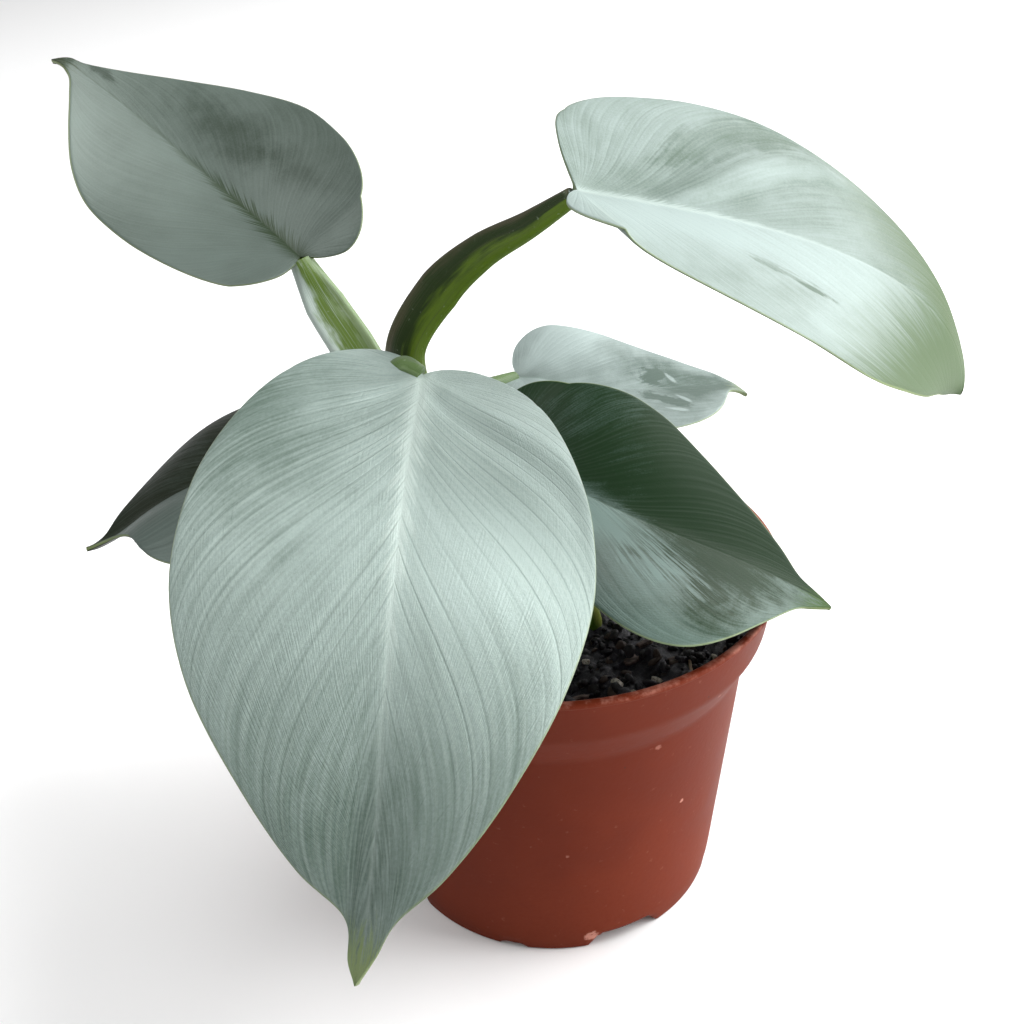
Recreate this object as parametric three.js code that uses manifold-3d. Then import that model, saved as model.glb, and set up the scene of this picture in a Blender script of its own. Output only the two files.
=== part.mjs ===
import * as THREE from "three";
import { mergeVertices } from "three/addons/utils/BufferGeometryUtils.js";
import Module from "manifold-3d";

const wasm = await Module();
wasm.setup();

// Potted philodendron hastatum: a young plant with six leaves in a round nursery pot.
// Millimetres, +Z up, floor at Z 0. Every piece is laid out round the pot's axis,
// and the whole group is then moved so that its box stands centred on the origin.

const GAP = 0.3; // clearance between pieces that touch
const TURN = Math.PI * 2;
const rad = THREE.MathUtils.degToRad;
const lerp = THREE.MathUtils.lerp;
const vec = (p) => new THREE.Vector3(p[0], p[1], p[2]);

// The pot: a 12 cm nursery pot, radii and heights in mm
const POT = {
  lip: 60,
  lipWall: 2,
  height: 96,
  lipDrop: 1.6,
  collarFoot: 56.8,
  collarHeight: 82,
  shoulder: 51.8,
  shoulderHeight: 72.5,
  base: 45,
  baseHeight: 5.5,
  foot: 44.2,
  footWall: 2.8,
  wall: 1.4,
  segments: 64,
};
const DRAIN = { count: 6, radius: 3.5, ring: 29, sides: 16 };
const NOTCHES = 4; // one wide and one narrow cut in each quarter of the foot
const WIDE_NOTCH = { from: 10.7, to: 38.5, high: 4.8, slant: 3 };
const NARROW_NOTCH = { from: -20, to: -10, high: 1.5, slant: 1 };

// The soil fills the pot to 12 mm under the lip
const SOIL = { top: 84, rings: 12, segments: 40, chips: 26, reach: 52 };
const GRAINS = {
  seen: [[15.9, -38.3, 1.7], [25.8, -36.7, 1.3], [40.4, -27.9, 1.0], [20, -41, 1.3], [9, -29, 1.1]],
  spread: 9, // and these are scattered over the rest of the soil
  small: 1.0,
  large: 1.9,
};
const BARK = {
  seen: [[31.2, -28.2], [20.1, -28.3], [23.7, -22.8], [38.9, -31.5], [6.6, -43.5]],
  spread: 7,
  long: [3.5, 6],
  wide: [1.6, 2.6],
  thick: [0.9, 1.5],
};

// Leaf blades
const BLADE_THICK = 0.7;
const RIB_AT_BASE = 1.5; // how far the midrib stands out below
const RIB_AT_TIP = 0.2;
const RIB_SINK = 0.15; // and how deep it lies above
const CURL_WIDTH = 0.35; // share of the length over which the curl is counted
const NAPE_LENGTH = 0.12; // share of the length behind the petiole that bends down
const BLADE_ROWS = 18; // side veins from the notch round to the tip
const LOBE_ROWS = 5 / 14; // share of the outline whose veins start at the petiole
const NARROWEST = 0.35; // the least that a taper leaves of the outline's width
const LOBE_BEND = 0.03; // how softly the lobes' margin turns into the sides'
const LOBE_WIDTH = 0.2; // share of the length by which that turn is fully soft
const HOOK_FROM = 0.955; // share of the midrib where a hooked drip tip starts
const VEIN_SPREAD = 1.3;
const VEIN_BOW = 1.5;
const BLADE_COLUMNS = [0, 0.06, 0.28, 0.52, 0.76, 1];

// Half a blade laid flat, from the notch round the lobe to the tip: side, along
const OUTLINE = [
  [0, 0], [0.05, -0.07], [0.13, -0.11], [0.215, -0.085], [0.28, -0.01],
  [0.325, 0.1], [0.35, 0.24], [0.35, 0.36], [0.325, 0.5], [0.262, 0.64],
  [0.178, 0.765], [0.098, 0.86], [0.041, 0.918], [0.018, 0.962], [0, 1],
];

// Each leaf: the midrib's four control points, then pairs. Roll and fold are degrees at
// the petiole and at the tip. Curl, width, lobe, belly and taper are for the left and the
// right half. Wave is the height of the margin's ripple and how many there are, and nape
// is how far the lobes bend down behind the petiole. Reshape moves single points of the
// outline, by number, in each half, and hook bends the drip tip aside, up and forward. The
// petiole's stations are x, y, z, half width and half depth from the stem up, and face is
// the way its broad side looks.
const LEAVES = {
  "high-right": {
    midrib: [[8.4, -17, 199.5], [29.5, -10, 191.2], [94.7, -17, 186.2], [94.6, -18.4, 149.5]],
    roll: [-14.5, -15], fold: [12.5, -9.5], curl: [5, -10], nape: 38, wave: [-0.2, 1.5],
    width: [1.04, 1.11], lobe: [0.12, 0.47], belly: [-0.2, 0.2], taper: [0.56, 0.6],
    reshape: [
      { 1: [0.06, -0.07], 2: [0.15, -0.118], 3: [0.236, -0.098], 4: [0.283, -0.011], 5: [0.333, 0.103] },
      { 9: [0.232, 0.665], 10: [0.155, 0.795], 11: [0.085, 0.895], 12: [0.045, 0.955], 13: [0.02, 0.985] },
    ],
    hook: [0, 0, 0],
    petiole: [
      [-28.7, -2, 127, 4.2, 4], [-30.8, 0, 141, 4.8, 4.4], [-32, 1, 156, 5.0, 4.4],
      [-23.2, 2.5, 170, 5.6, 4.2], [-13.4, -1, 180, 4.4, 3.6], [-2, -9.8, 189.6, 3.1, 2.9],
      [7.4, -16.3, 197.9, 2.1, 2.1],
    ],
    face: [-0.4, -0.7, 0.6],
  },
  "high-left": {
    midrib: [[-59.6, 29.8, 168.2], [-78.3, 50.8, 174.4], [-104.6, 65.5, 196.2], [-122.3, 65, 210.1]],
    roll: [17.7, 13.5], fold: [19, 15], curl: [21, 11], nape: 32.7, wave: [-0.3, 1.5],
    width: [1.03, 1.07], lobe: [0.37, 0.8], belly: [0.12, -0.2], taper: [0.6, 0.52],
    reshape: [
      {},
      { 9: [0.245, 0.646], 10: [0.156, 0.772], 11: [0.079, 0.876], 12: [0.03, 0.95], 13: [0.016, 0.985] },
    ],
    hook: [2, -3.5, 1],
    petiole: [
      [-28.5, -1, 118, 3.4, 3.2], [-37, 8, 136, 4.8, 3.0], [-46.6, 15.5, 150, 5.6, 2.8],
      [-53.6, 23.5, 158, 5.2, 2.7], [-59.4, 29.4, 167.2, 3.0, 2.4],
    ],
    face: [0.1, -0.8, 0.5],
  },
  front: {
    midrib: [[-27.2, -12.1, 155.1], [-33.2, -82, 140], [-34.3, -103.2, 88.6], [-41, -109.3, 64.2]],
    roll: [10.5, 1.8], fold: [2, 14.7], curl: [32, 27.7], nape: 38.8, wave: [1.0, 1.55],
    width: [0.83, 0.94], lobe: [0.29, 0.59], belly: [-0.2, -0.17], taper: [0.6, 0.6],
    reshape: [
      { 11: [0.103, 0.855], 12: [0.043, 0.912], 13: [0.021, 0.958] },
      { 10: [0.166, 0.773], 11: [0.087, 0.87], 12: [0.027, 0.921], 13: [0.016, 0.978] },
    ],
    hook: [0, 0, 0],
    petiole: [
      [-29, -5, 122, 3.2, 3.0], [-36.5, -7, 140, 3.0, 2.8], [-35.5, -8, 152, 2.6, 2.4],
      [-31.5, -10, 156.8, 2.2, 2.1], [-27.6, -12, 155.4, 1.9, 1.8],
    ],
    face: [0.2, -0.7, 0.7],
  },
  small: {
    midrib: [[-7.1, 62.7, 116.9], [26.5, 43.7, 115.5], [43.9, 63, 114.2], [56.4, 59.5, 111.8]],
    roll: [-12.2, -3.5], fold: [22, 17.7], curl: [26, 20], nape: 29.9, wave: [0, 1.5],
    width: [1.02, 1.0], lobe: [0.69, 1.0], belly: [0.2, 0.2], taper: [-0.5, 0.6],
    reshape: [{ 11: [0.118, 0.86], 12: [0.062, 0.925], 13: [0.03, 0.965] }, {}],
    hook: [0, -1.5, 2.5],
    petiole: [
      [-24.5, -3, 113, 2.9, 2.7], [-25, 22, 118, 2.7, 2.4], [-19.5, 48, 120, 2.5, 2.2],
      [-7.9, 62.2, 117, 2.0, 1.8],
    ],
    face: [0, 0, 1],
  },
  right: {
    midrib: [[-10.3, 18.1, 118.3], [13.5, -8.9, 108.9], [46.9, -9.5, 103.2], [68.2, -24.2, 93.8]],
    roll: [-7.7, 1.6], fold: [30.8, 19.6], curl: [12.2, 24], nape: 24.2, wave: [-0.1, 1.5],
    width: [1.0, 1.01], lobe: [0.93, 0.2], belly: [-0.2, 0.08], taper: [0.28, 2.3],
    reshape: [{}, {}],
    hook: [0, 0, 0],
    petiole: [
      [-22, -4, 102, 3.1, 2.9], [-21, 7, 107, 2.9, 2.5], [-17.5, 16, 114, 2.7, 2.3],
      [-10.8, 18.6, 118.1, 2.2, 1.9],
    ],
    face: [0, 0, 1],
  },
  left: {
    midrib: [[-48.9, 30.6, 113.3], [-104, 3, 121.6], [-105.3, 12.2, 97.5], [-116.7, -4.2, 104]],
    roll: [18, -27], fold: [10.6, 25], curl: [55, 30], nape: 40, wave: [-0.3, 1.5],
    width: [1.25, 1.2], lobe: [1.0, 1.0], belly: [0.2, -0.2], taper: [0.6, 0.37],
    reshape: [{}, {}],
    hook: [0, 0, 0],
    petiole: [
      [-23.6, -4, 107, 3.1, 2.9], [-32, 10, 110, 2.9, 2.5], [-40.5, 24, 113.5, 2.7, 2.3],
      [-48.2, 30.3, 113.3, 2.2, 1.9],
    ],
    face: [0, 0, 1],
  },
};

// The stem rises from inside the soil to where the three high petioles leave it:
// x, y, z and half width, with a thicker ring where each petiole leaves
const STEM = {
  stations: [
    [-17, -7, 48, 1.2], [-17.3, -7, 51, 4.4], [-18, -6.6, 66, 5.2], [-19, -6, 84, 5.4],
    [-21.5, -5.2, 97, 4.8], [-22.3, -5, 101, 5.4], [-23.6, -4.6, 107, 4.7], [-24.8, -4.2, 112, 5.2],
    [-26.6, -3.4, 119, 4.6], [-28, -2.6, 124, 4.4], [-28.6, -2.2, 126.5, 1.6],
  ],
  sides: 12,
};
const SHOOT = {
  stations: [
    [11, -12.4, 76, 1.4], [11, -12.5, 79, 2.6], [10.8, -12.6, 85, 2.9], [9.4, -12.4, 91, 2.4],
    [7.2, -12, 96, 1.3], [6, -11.8, 98.5, 0.5],
  ],
  sides: 10,
};
const STRAW = { route: [[34.4, -27.5], [34.3, -33], [34.8, -39]], half: 0.4, sides: 6 };
const LIMB_STEPS = 3; // sections between two stations
const LIMB_SIDES = 10;

const FINISH = {
  pot: { color: 0x9a4430, roughness: 0.52 },
  soil: { color: 0x1c1713, roughness: 0.95 },
  blade: { color: 0x9fb3a8, roughness: 0.42 },
  petiole: { color: 0x55701f, roughness: 0.45 },
  stem: { color: 0x4c6622, roughness: 0.55 },
  shoot: { color: 0x7f9a35, roughness: 0.5 },
  grain: { color: 0xcfc8b8, roughness: 0.9 },
  bark: { color: 0x6b5348, roughness: 0.9 },
  straw: { color: 0xa58a5c, roughness: 0.8 },
};

// A seeded draw, the same each time
function draws(seed) {
  let state = seed;
  return (low, high) => {
    state = (Math.imul(state, 1664525) + 1013904223) >>> 0;
    return low + ((high - low) * state) / 4294967296;
  };
}

// Closed solids from triangles, and back again
function weld(geometry) {
  geometry.deleteAttribute("normal");
  geometry.deleteAttribute("uv");
  const merged = mergeVertices(geometry, 1e-4);
  const index = [];
  for (let i = 0; i < merged.index.count; i += 3) {
    const [a, b, c] = [0, 1, 2].map((k) => merged.index.getX(i + k));
    if (a !== b && b !== c && c !== a) {
      index.push(a, b, c);
    }
  }
  merged.setIndex(index);
  return merged;
}

function solidOf(geometry) {
  const welded = weld(geometry);
  const mesh = new wasm.Mesh({
    numProp: 3,
    vertProperties: new Float32Array(welded.attributes.position.array),
    triVerts: new Uint32Array(welded.index.array),
  });
  return new wasm.Manifold(mesh);
}

function geometryOf(solid) {
  const mesh = solid.getMesh();
  const geometry = new THREE.BufferGeometry();
  const position = new Float32Array(mesh.vertProperties);
  geometry.setAttribute("position", new THREE.BufferAttribute(position, 3));
  geometry.setIndex(Array.from(mesh.triVerts));
  geometry.computeVertexNormals();
  return geometry;
}

function largestPiece(solid) {
  const pieces = solid.decompose();
  return pieces.reduce((best, piece) => (piece.volume() > best.volume() ? piece : best));
}

function trianglesOf(points, index) {
  const geometry = new THREE.BufferGeometry().setFromPoints(points);
  geometry.setIndex(index);
  return geometry;
}

// The pot is one turned shell with cuts in its foot and drain holes in its floor
function potWall(height) {
  const stops = [
    [0, POT.foot], [POT.baseHeight, POT.base], [POT.shoulderHeight, POT.shoulder],
    [POT.collarHeight, POT.collarFoot], [POT.height, POT.lip - 1],
  ];
  const next = Math.max(1, stops.findIndex((stop) => stop[0] >= height));
  const [low, high] = [stops[next - 1], stops[next]];
  return lerp(low[1], high[1], (height - low[0]) / (high[0] - low[0]));
}

function turned(profile, segments) {
  const points = profile.map(([radius, height]) => new THREE.Vector2(radius, height));
  return new THREE.LatheGeometry(points, segments).rotateX(Math.PI / 2);
}

function notchSolid(notch, turn) {
  const middle = rad((notch.from + notch.to) / 2) + turn;
  const half = POT.foot * Math.sin(rad(notch.to - notch.from) / 2);
  const shape = new THREE.Shape([
    new THREE.Vector2(-half, -1),
    new THREE.Vector2(half, -1),
    new THREE.Vector2(half - notch.slant, notch.high),
    new THREE.Vector2(-half + notch.slant, notch.high),
  ]);
  const depth = POT.footWall * 3;
  const block = new THREE.ExtrudeGeometry(shape, { depth, bevelEnabled: false });
  block.rotateX(Math.PI / 2).translate(0, -POT.foot + depth * 0.75, 0).rotateZ(middle);
  return solidOf(block);
}

function drainSolid(turn) {
  const long = POT.baseHeight * 2;
  const drill = new THREE.CylinderGeometry(DRAIN.radius, DRAIN.radius, long, DRAIN.sides);
  drill.rotateX(Math.PI / 2).translate(DRAIN.ring, 0, POT.baseHeight).rotateZ(turn);
  return solidOf(drill);
}

function potGeometry() {
  const inner = (height) => potWall(height) - POT.wall;
  const floor = POT.baseHeight + POT.wall;
  const lipFoot = POT.height - POT.lipDrop;
  const outline = [
    [0, POT.baseHeight],
    [POT.foot - POT.footWall, POT.baseHeight],
    [POT.foot - POT.footWall, 0],
    [POT.foot, 0],
    [POT.base, POT.baseHeight],
    [POT.shoulder, POT.shoulderHeight],
    [POT.collarFoot, POT.collarHeight],
    [potWall(lipFoot), lipFoot],
    [POT.lip, lipFoot],
    [POT.lip, POT.height],
    [POT.lip - POT.lipWall, POT.height],
    [inner(POT.collarHeight), POT.collarHeight],
    [inner(POT.shoulderHeight), POT.shoulderHeight],
    [inner(floor), floor],
    [0, floor],
  ];
  let pot = solidOf(turned(outline, POT.segments));
  for (let i = 0; i < NOTCHES; i++) {
    const turn = (i * TURN) / NOTCHES;
    pot = pot.subtract(notchSolid(WIDE_NOTCH, turn));
    pot = pot.subtract(notchSolid(NARROW_NOTCH, turn));
  }
  for (let i = 0; i < DRAIN.count; i++) {
    pot = pot.subtract(drainSolid((i * TURN) / DRAIN.count));
  }
  return geometryOf(pot);
}

// Leaf blades: a thin slab on a folded, curled and drooping surface
function bladeSurface(leaf) {
  const midrib = new THREE.CubicBezierCurve3(...leaf.midrib.map(vec));
  const length = midrib.getLength();
  const outlines = leaf.reshape.map((moved) => {
    return new THREE.SplineCurve(OUTLINE.map((point, i) => new THREE.Vector2(...(moved[i] ?? point))));
  });
  const napeBend = rad(leaf.nape) / (NAPE_LENGTH * length);

  function frameAt(along) {
    const share = THREE.MathUtils.clamp(along / length, 0, 1);
    const centre = midrib.getPointAt(share);
    const forward = midrib.getTangentAt(share);
    const level = new THREE.Vector3().crossVectors(forward, new THREE.Vector3(0, 0, 1));
    const side = level.normalize().applyAxisAngle(forward, -rad(lerp(...leaf.roll, share)));
    const up = new THREE.Vector3().crossVectors(side, forward);
    const hook = Math.max(0, (share - HOOK_FROM) / (1 - HOOK_FROM)) ** 2;
    [side, up, forward].forEach((way, i) => centre.addScaledVector(way, hook * leaf.hook[i]));
    if (along < 0) {
      const bend = -along * napeBend;
      centre.addScaledVector(forward, -Math.sin(bend) / napeBend);
      centre.addScaledVector(up, -(1 - Math.cos(bend)) / napeBend);
      forward.multiplyScalar(Math.cos(bend)).addScaledVector(up, Math.sin(bend));
      up.crossVectors(side, forward);
    }
    return { centre, side, up, share };
  }

  function pointAt(across, along) {
    const { centre, side, up, share } = frameAt(along);
    const right = across > 0 ? 1 : 0;
    const reach = Math.abs(across);
    const fold = rad(lerp(...leaf.fold, share));
    const bend = rad(leaf.curl[right]) / (CURL_WIDTH * length);
    const out = (Math.sin(fold) - Math.sin(fold - bend * reach)) / bend;
    const lift = (Math.cos(fold - bend * reach) - Math.cos(fold)) / bend;
    const [height, waves] = leaf.wave;
    const ripple = Math.sin(TURN * waves * (along / length) + (right ? 0 : 0.9));
    const wave = height * (reach / (CURL_WIDTH * length)) ** 2 * ripple;
    return centre.addScaledVector(side, Math.sign(across) * out).addScaledVector(up, lift + wave);
  }

  function marginAt(row, right) {
    const { x, y } = outlines[right].getPoint(row);
    const inner = THREE.MathUtils.clamp(y, 0, 1);
    const belly = leaf.belly[right] * inner * (1 - inner) * 2;
    const lobe = leaf.lobe[right];
    const soft = LOBE_BEND * THREE.MathUtils.clamp(x / LOBE_WIDTH, 0, 1);
    const along = lobe * y + ((1 - lobe) * (y + Math.hypot(y, soft))) / 2 + belly;
    const taper = Math.max(NARROWEST, 1 + leaf.taper[right] * (y - 0.3));
    const wide = x * taper * leaf.width[right];
    return [wide * length * (right ? 1 : -1), along * length];
  }

  return { length, pointAt, marginAt };
}

function bladeSheet(leaf) {
  const { length, pointAt, marginAt } = bladeSurface(leaf);
  const columns = BLADE_COLUMNS.length - 1;
  const points = [];
  const ribs = [];
  for (let row = 0; row <= BLADE_ROWS; row++) {
    const share = row / BLADE_ROWS;
    const start = Math.max(0, (share - LOBE_ROWS) / (1 - LOBE_ROWS)) ** VEIN_SPREAD * length;
    for (let column = -columns; column <= columns; column++) {
      const out = BLADE_COLUMNS[Math.abs(column)];
      const [across, along] = marginAt(share, column > 0 ? 1 : 0);
      points.push(pointAt(across * out, lerp(start, along, out ** VEIN_BOW)));
      ribs.push(column === 0 ? start / length : -1);
    }
  }
  const index = [];
  const wide = 2 * columns + 1;
  for (let row = 0; row < BLADE_ROWS; row++) {
    for (let column = 0; column < wide - 1; column++) {
      const a = row * wide + column;
      const [b, c, d] = [a + 1, a + wide, a + wide + 1];
      index.push(...(column < columns ? [a, b, c, b, d, c] : [a, b, d, a, d, c]));
    }
  }
  return { points, ribs, index };
}

// Points that lie together become one, and triangles that close up are dropped
function joinPoints({ points, ribs, index }) {
  const seen = new Map();
  const kept = { points: [], ribs: [], index: [] };
  const place = points.map((point, i) => {
    const key = point.toArray().map((value) => Math.round(value * 1000)).join();
    if (!seen.has(key)) {
      seen.set(key, kept.points.length);
      kept.points.push(point);
      kept.ribs.push(ribs[i]);
    }
    kept.ribs[seen.get(key)] = Math.max(kept.ribs[seen.get(key)], ribs[i]);
    return seen.get(key);
  });
  for (let i = 0; i < index.length; i += 3) {
    const corner = index.slice(i, i + 3).map((k) => place[k]);
    if (new Set(corner).size === 3) {
      kept.index.push(...corner);
    }
  }
  return kept;
}

function bladeSolid(leaf, grow = 0) {
  const thick = BLADE_THICK + 2 * grow;
  const { points, ribs, index } = joinPoints(bladeSheet(leaf));
  const sheet = trianglesOf(points, index);
  sheet.computeVertexNormals();
  const normal = points.map((_, i) => new THREE.Vector3().fromBufferAttribute(sheet.attributes.normal, i));
  const top = points.map((point, i) => {
    const sink = ribs[i] < 0 ? 0 : RIB_SINK;
    return point.clone().addScaledVector(normal[i], thick / 2 - sink);
  });
  const under = points.map((point, i) => {
    const rib = ribs[i] < 0 ? 0 : lerp(RIB_AT_BASE, RIB_AT_TIP, ribs[i]);
    return point.clone().addScaledVector(normal[i], -thick / 2 - rib);
  });
  const shell = [...index];
  const edges = new Map();
  for (let i = 0; i < index.length; i += 3) {
    const [a, b, c] = index.slice(i, i + 3);
    shell.push(a + points.length, c + points.length, b + points.length);
    for (const [from, to] of [[a, b], [b, c], [c, a]]) {
      if (!edges.delete(`${to}_${from}`)) {
        edges.set(`${from}_${to}`, [from, to]);
      }
    }
  }
  for (const [from, to] of edges.values()) {
    shell.push(from, from + points.length, to);
    shell.push(to, from + points.length, to + points.length);
  }
  return solidOf(trianglesOf([...top, ...under], shell));
}

// Stem, shoot and petioles: a tapering limb through its stations
function limbSolid(stations, sides, face = [0, -1, 0], grow = 0) {
  const route = new THREE.CatmullRomCurve3(stations.map(vec));
  const steps = (stations.length - 1) * LIMB_STEPS;
  const broad = vec(face);
  const points = [];
  for (let step = 0; step <= steps; step++) {
    const share = step / steps;
    const centre = route.getPoint(share);
    const forward = route.getTangent(share);
    if (grow && (step === 0 || step === steps)) {
      centre.addScaledVector(forward, step ? grow : -grow);
    }
    const side = new THREE.Vector3().crossVectors(forward, broad).normalize();
    const front = new THREE.Vector3().crossVectors(side, forward);
    const place = Math.min(share * (stations.length - 1), stations.length - 1.001);
    const [low, high] = [stations[Math.floor(place)], stations[Math.floor(place) + 1]];
    const width = lerp(low[3], high[3], place % 1) + grow;
    const depth = lerp(low[4] ?? low[3], high[4] ?? high[3], place % 1) + grow;
    for (let i = 0; i < sides; i++) {
      const angle = (i * TURN) / sides;
      const point = centre.clone().addScaledVector(side, width * Math.cos(angle));
      points.push(point.addScaledVector(front, depth * Math.sin(angle)));
    }
  }
  const index = [];
  for (let step = 0; step < steps; step++) {
    for (let i = 0; i < sides; i++) {
      const [a, b] = [step * sides + i, step * sides + ((i + 1) % sides)];
      index.push(a, a + sides, b, b, a + sides, b + sides);
    }
  }
  for (let i = 1; i < sides - 1; i++) {
    const last = steps * sides;
    index.push(0, i, i + 1, last, last + i + 1, last + i);
  }
  return solidOf(trianglesOf(points, index));
}

// Soil: the shape of the pot's inside, with a loose crumbly top and chips of bark in it
function crumble(x, y) {
  const fade = THREE.MathUtils.smoothstep(SOIL.reach + 3 - Math.hypot(x, y), 0, 8);
  const mound = 1.6 * Math.exp(-((x + 4) ** 2 + y ** 2) / 300);
  const lumps = 0.9 * Math.sin(0.31 * x + 1) * Math.cos(0.27 * y) + 0.6 * Math.sin(0.71 * x - 0.53 * y);
  return fade * (mound + lumps + 0.4 * Math.cos(1.3 * x + 0.4) * Math.sin(1.1 * y));
}

function chipSolid(draw) {
  const angle = draw(0, TURN);
  const out = SOIL.reach * Math.sqrt(draw(0.06, 0.94));
  const [x, y] = [out * Math.cos(angle), out * Math.sin(angle)];
  const chip = new THREE.BoxGeometry(draw(3, 7.5), draw(2, 4), draw(1.6, 2.6));
  chip.rotateX(draw(-0.5, 0.5)).rotateY(draw(-0.4, 0.4)).rotateZ(draw(0, TURN));
  chip.translate(x, y, SOIL.top + crumble(x, y) + draw(-0.3, 0.4));
  return solidOf(chip);
}

function soilSolid() {
  const inner = (height) => potWall(height) - POT.wall - GAP * 1.2;
  const floor = POT.baseHeight + POT.wall + GAP;
  const outline = [[0, floor], [inner(floor), floor], [inner(POT.shoulderHeight), POT.shoulderHeight]];
  outline.push([inner(POT.collarHeight), POT.collarHeight]);
  for (let ring = SOIL.rings; ring >= 0; ring--) {
    outline.push([(inner(SOIL.top) * ring) / SOIL.rings, SOIL.top]);
  }
  const body = turned(outline, SOIL.segments);
  const position = body.attributes.position;
  for (let i = 0; i < position.count; i++) {
    if (position.getZ(i) > SOIL.top - 0.01) {
      position.setZ(i, SOIL.top + crumble(position.getX(i), position.getY(i)));
    }
  }
  const draw = draws(7);
  let soil = solidOf(body);
  for (let i = 0; i < SOIL.chips; i++) {
    soil = soil.add(chipSolid(draw));
  }
  return soil;
}

// Loose pieces on the soil, each in a dimple: those seen at the front, then a scatter
function scatter(draw, { seen, spread }) {
  const places = seen.map(([x, y, size]) => ({ x, y, size }));
  for (let i = 0; i < spread; i++) {
    const angle = Math.PI * (0.05 + (1.35 * (i + draw(0.1, 0.9))) / spread);
    const out = draw(0.58, 0.94) * SOIL.reach;
    places.push({ x: out * Math.cos(angle), y: out * Math.sin(angle) });
  }
  return places;
}

function grainSolid({ x, y, size, angle }, grow = 0) {
  const room = grow * 1.3;
  const grain = new THREE.IcosahedronGeometry(1, 0);
  grain.scale(size * 1.2 + room, size + room, size * 0.8 + room).rotateZ(angle);
  grain.translate(x, y, SOIL.top + crumble(x, y) + size * 0.35);
  return solidOf(grain);
}

function grainPlaces() {
  const draw = draws(21);
  return scatter(draw, GRAINS).map(({ x, y, size }) => {
    const drawn = draw(GRAINS.small, GRAINS.large);
    return { x, y, size: size ?? drawn, angle: draw(0, TURN) };
  });
}

function barkSolid({ x, y, size, tilt, angle }, grow = 0) {
  const [long, wide, thick] = size.map((value) => value + 2 * grow);
  const chip = new THREE.BoxGeometry(long, wide, thick).rotateX(tilt).rotateZ(angle);
  chip.translate(x, y, SOIL.top + crumble(x, y) + size[2] * 0.3);
  return solidOf(chip);
}

function barkPlaces() {
  const draw = draws(5);
  return scatter(draw, BARK).map(({ x, y }) => {
    const size = [draw(...BARK.long), draw(...BARK.wide), draw(...BARK.thick)];
    return { x, y, size, tilt: draw(-0.25, 0.25), angle: draw(-0.5, 0.9) };
  });
}

function strawSolid(grow = 0) {
  const stations = STRAW.route.map(([x, y]) => {
    return [x, y, SOIL.top + crumble(x, y) + STRAW.half / 2, STRAW.half];
  });
  return limbSolid(stations, STRAW.sides, [0, 0, 1], grow);
}

const plant = new THREE.Group();

function addNode(name, geometry, finish) {
  const material = new THREE.MeshStandardMaterial({ ...FINISH[finish], metalness: 0 });
  const mesh = new THREE.Mesh(geometry, material);
  mesh.name = name;
  plant.add(mesh);
}

// What a blade takes up with a clearance all round it
function clearOfBlade(limb, leaf) {
  const grown = bladeSolid(leaf, GAP);
  const axes = [[1, 0, 0], [0, 1, 0], [0, 0, 1]];
  for (const axis of axes) {
    for (const shift of [GAP, -GAP]) {
      limb = limb.subtract(grown.translate(axis.map((value) => value * shift)));
    }
  }
  return limb;
}

// The stem first: each petiole is trimmed clear of it, of its own blade and of the others
const stem = limbSolid(STEM.stations, STEM.sides);
const grownStem = limbSolid(STEM.stations, STEM.sides, [0, -1, 0], GAP);
const grownShoot = limbSolid(SHOOT.stations, SHOOT.sides, [0, -1, 0], GAP);
const taken = [grownStem];
for (const [name, leaf] of Object.entries(LEAVES)) {
  const blade = bladeSolid(leaf);
  let petiole = limbSolid(leaf.petiole, LIMB_SIDES, leaf.face);
  petiole = clearOfBlade(petiole, leaf);
  for (const other of taken) {
    petiole = petiole.subtract(other);
  }
  taken.push(limbSolid(leaf.petiole, LIMB_SIDES, leaf.face, GAP));
  addNode(`blade-${name}`, geometryOf(blade), "blade");
  addNode(`petiole-${name}`, geometryOf(largestPiece(petiole)), "petiole");
}

let soil = soilSolid().subtract(grownStem).subtract(grownShoot).subtract(strawSolid(GAP));
for (const [i, place] of grainPlaces().entries()) {
  soil = soil.subtract(grainSolid(place, GAP));
  addNode(`perlite-${i + 1}`, geometryOf(grainSolid(place)), "grain");
}
for (const [i, place] of barkPlaces().entries()) {
  soil = soil.subtract(barkSolid(place, GAP));
  addNode(`bark-${i + 1}`, geometryOf(barkSolid(place)), "bark");
}
addNode("pot", potGeometry(), "pot");
addNode("soil", geometryOf(largestPiece(soil)), "soil");
addNode("stem", geometryOf(stem), "stem");
addNode("shoot", geometryOf(limbSolid(SHOOT.stations, SHOOT.sides)), "shoot");
addNode("straw", geometryOf(strawSolid()), "straw");

const box = new THREE.Box3().setFromObject(plant);
const middle = box.getCenter(new THREE.Vector3());
plant.position.set(-middle.x, -middle.y, 0);

export default plant;
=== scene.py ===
# %% [markdown]
# # A potted philodendron hastatum
# This young plant has six silver leaves on arching stalks. It stands in a plain
# terracotta red nursery pot filled with dark soil. The packed model gives every piece its
# place and size. This file dresses those pieces: it gives the blades their veins, the soil
# its crumbs and the pot its moulded edges, and it makes each finish from nodes.
#
# All lengths of the plant are written in millimetres round the pot's upright axis, as a
# grower would measure them, and are turned into metres in one place.

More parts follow.
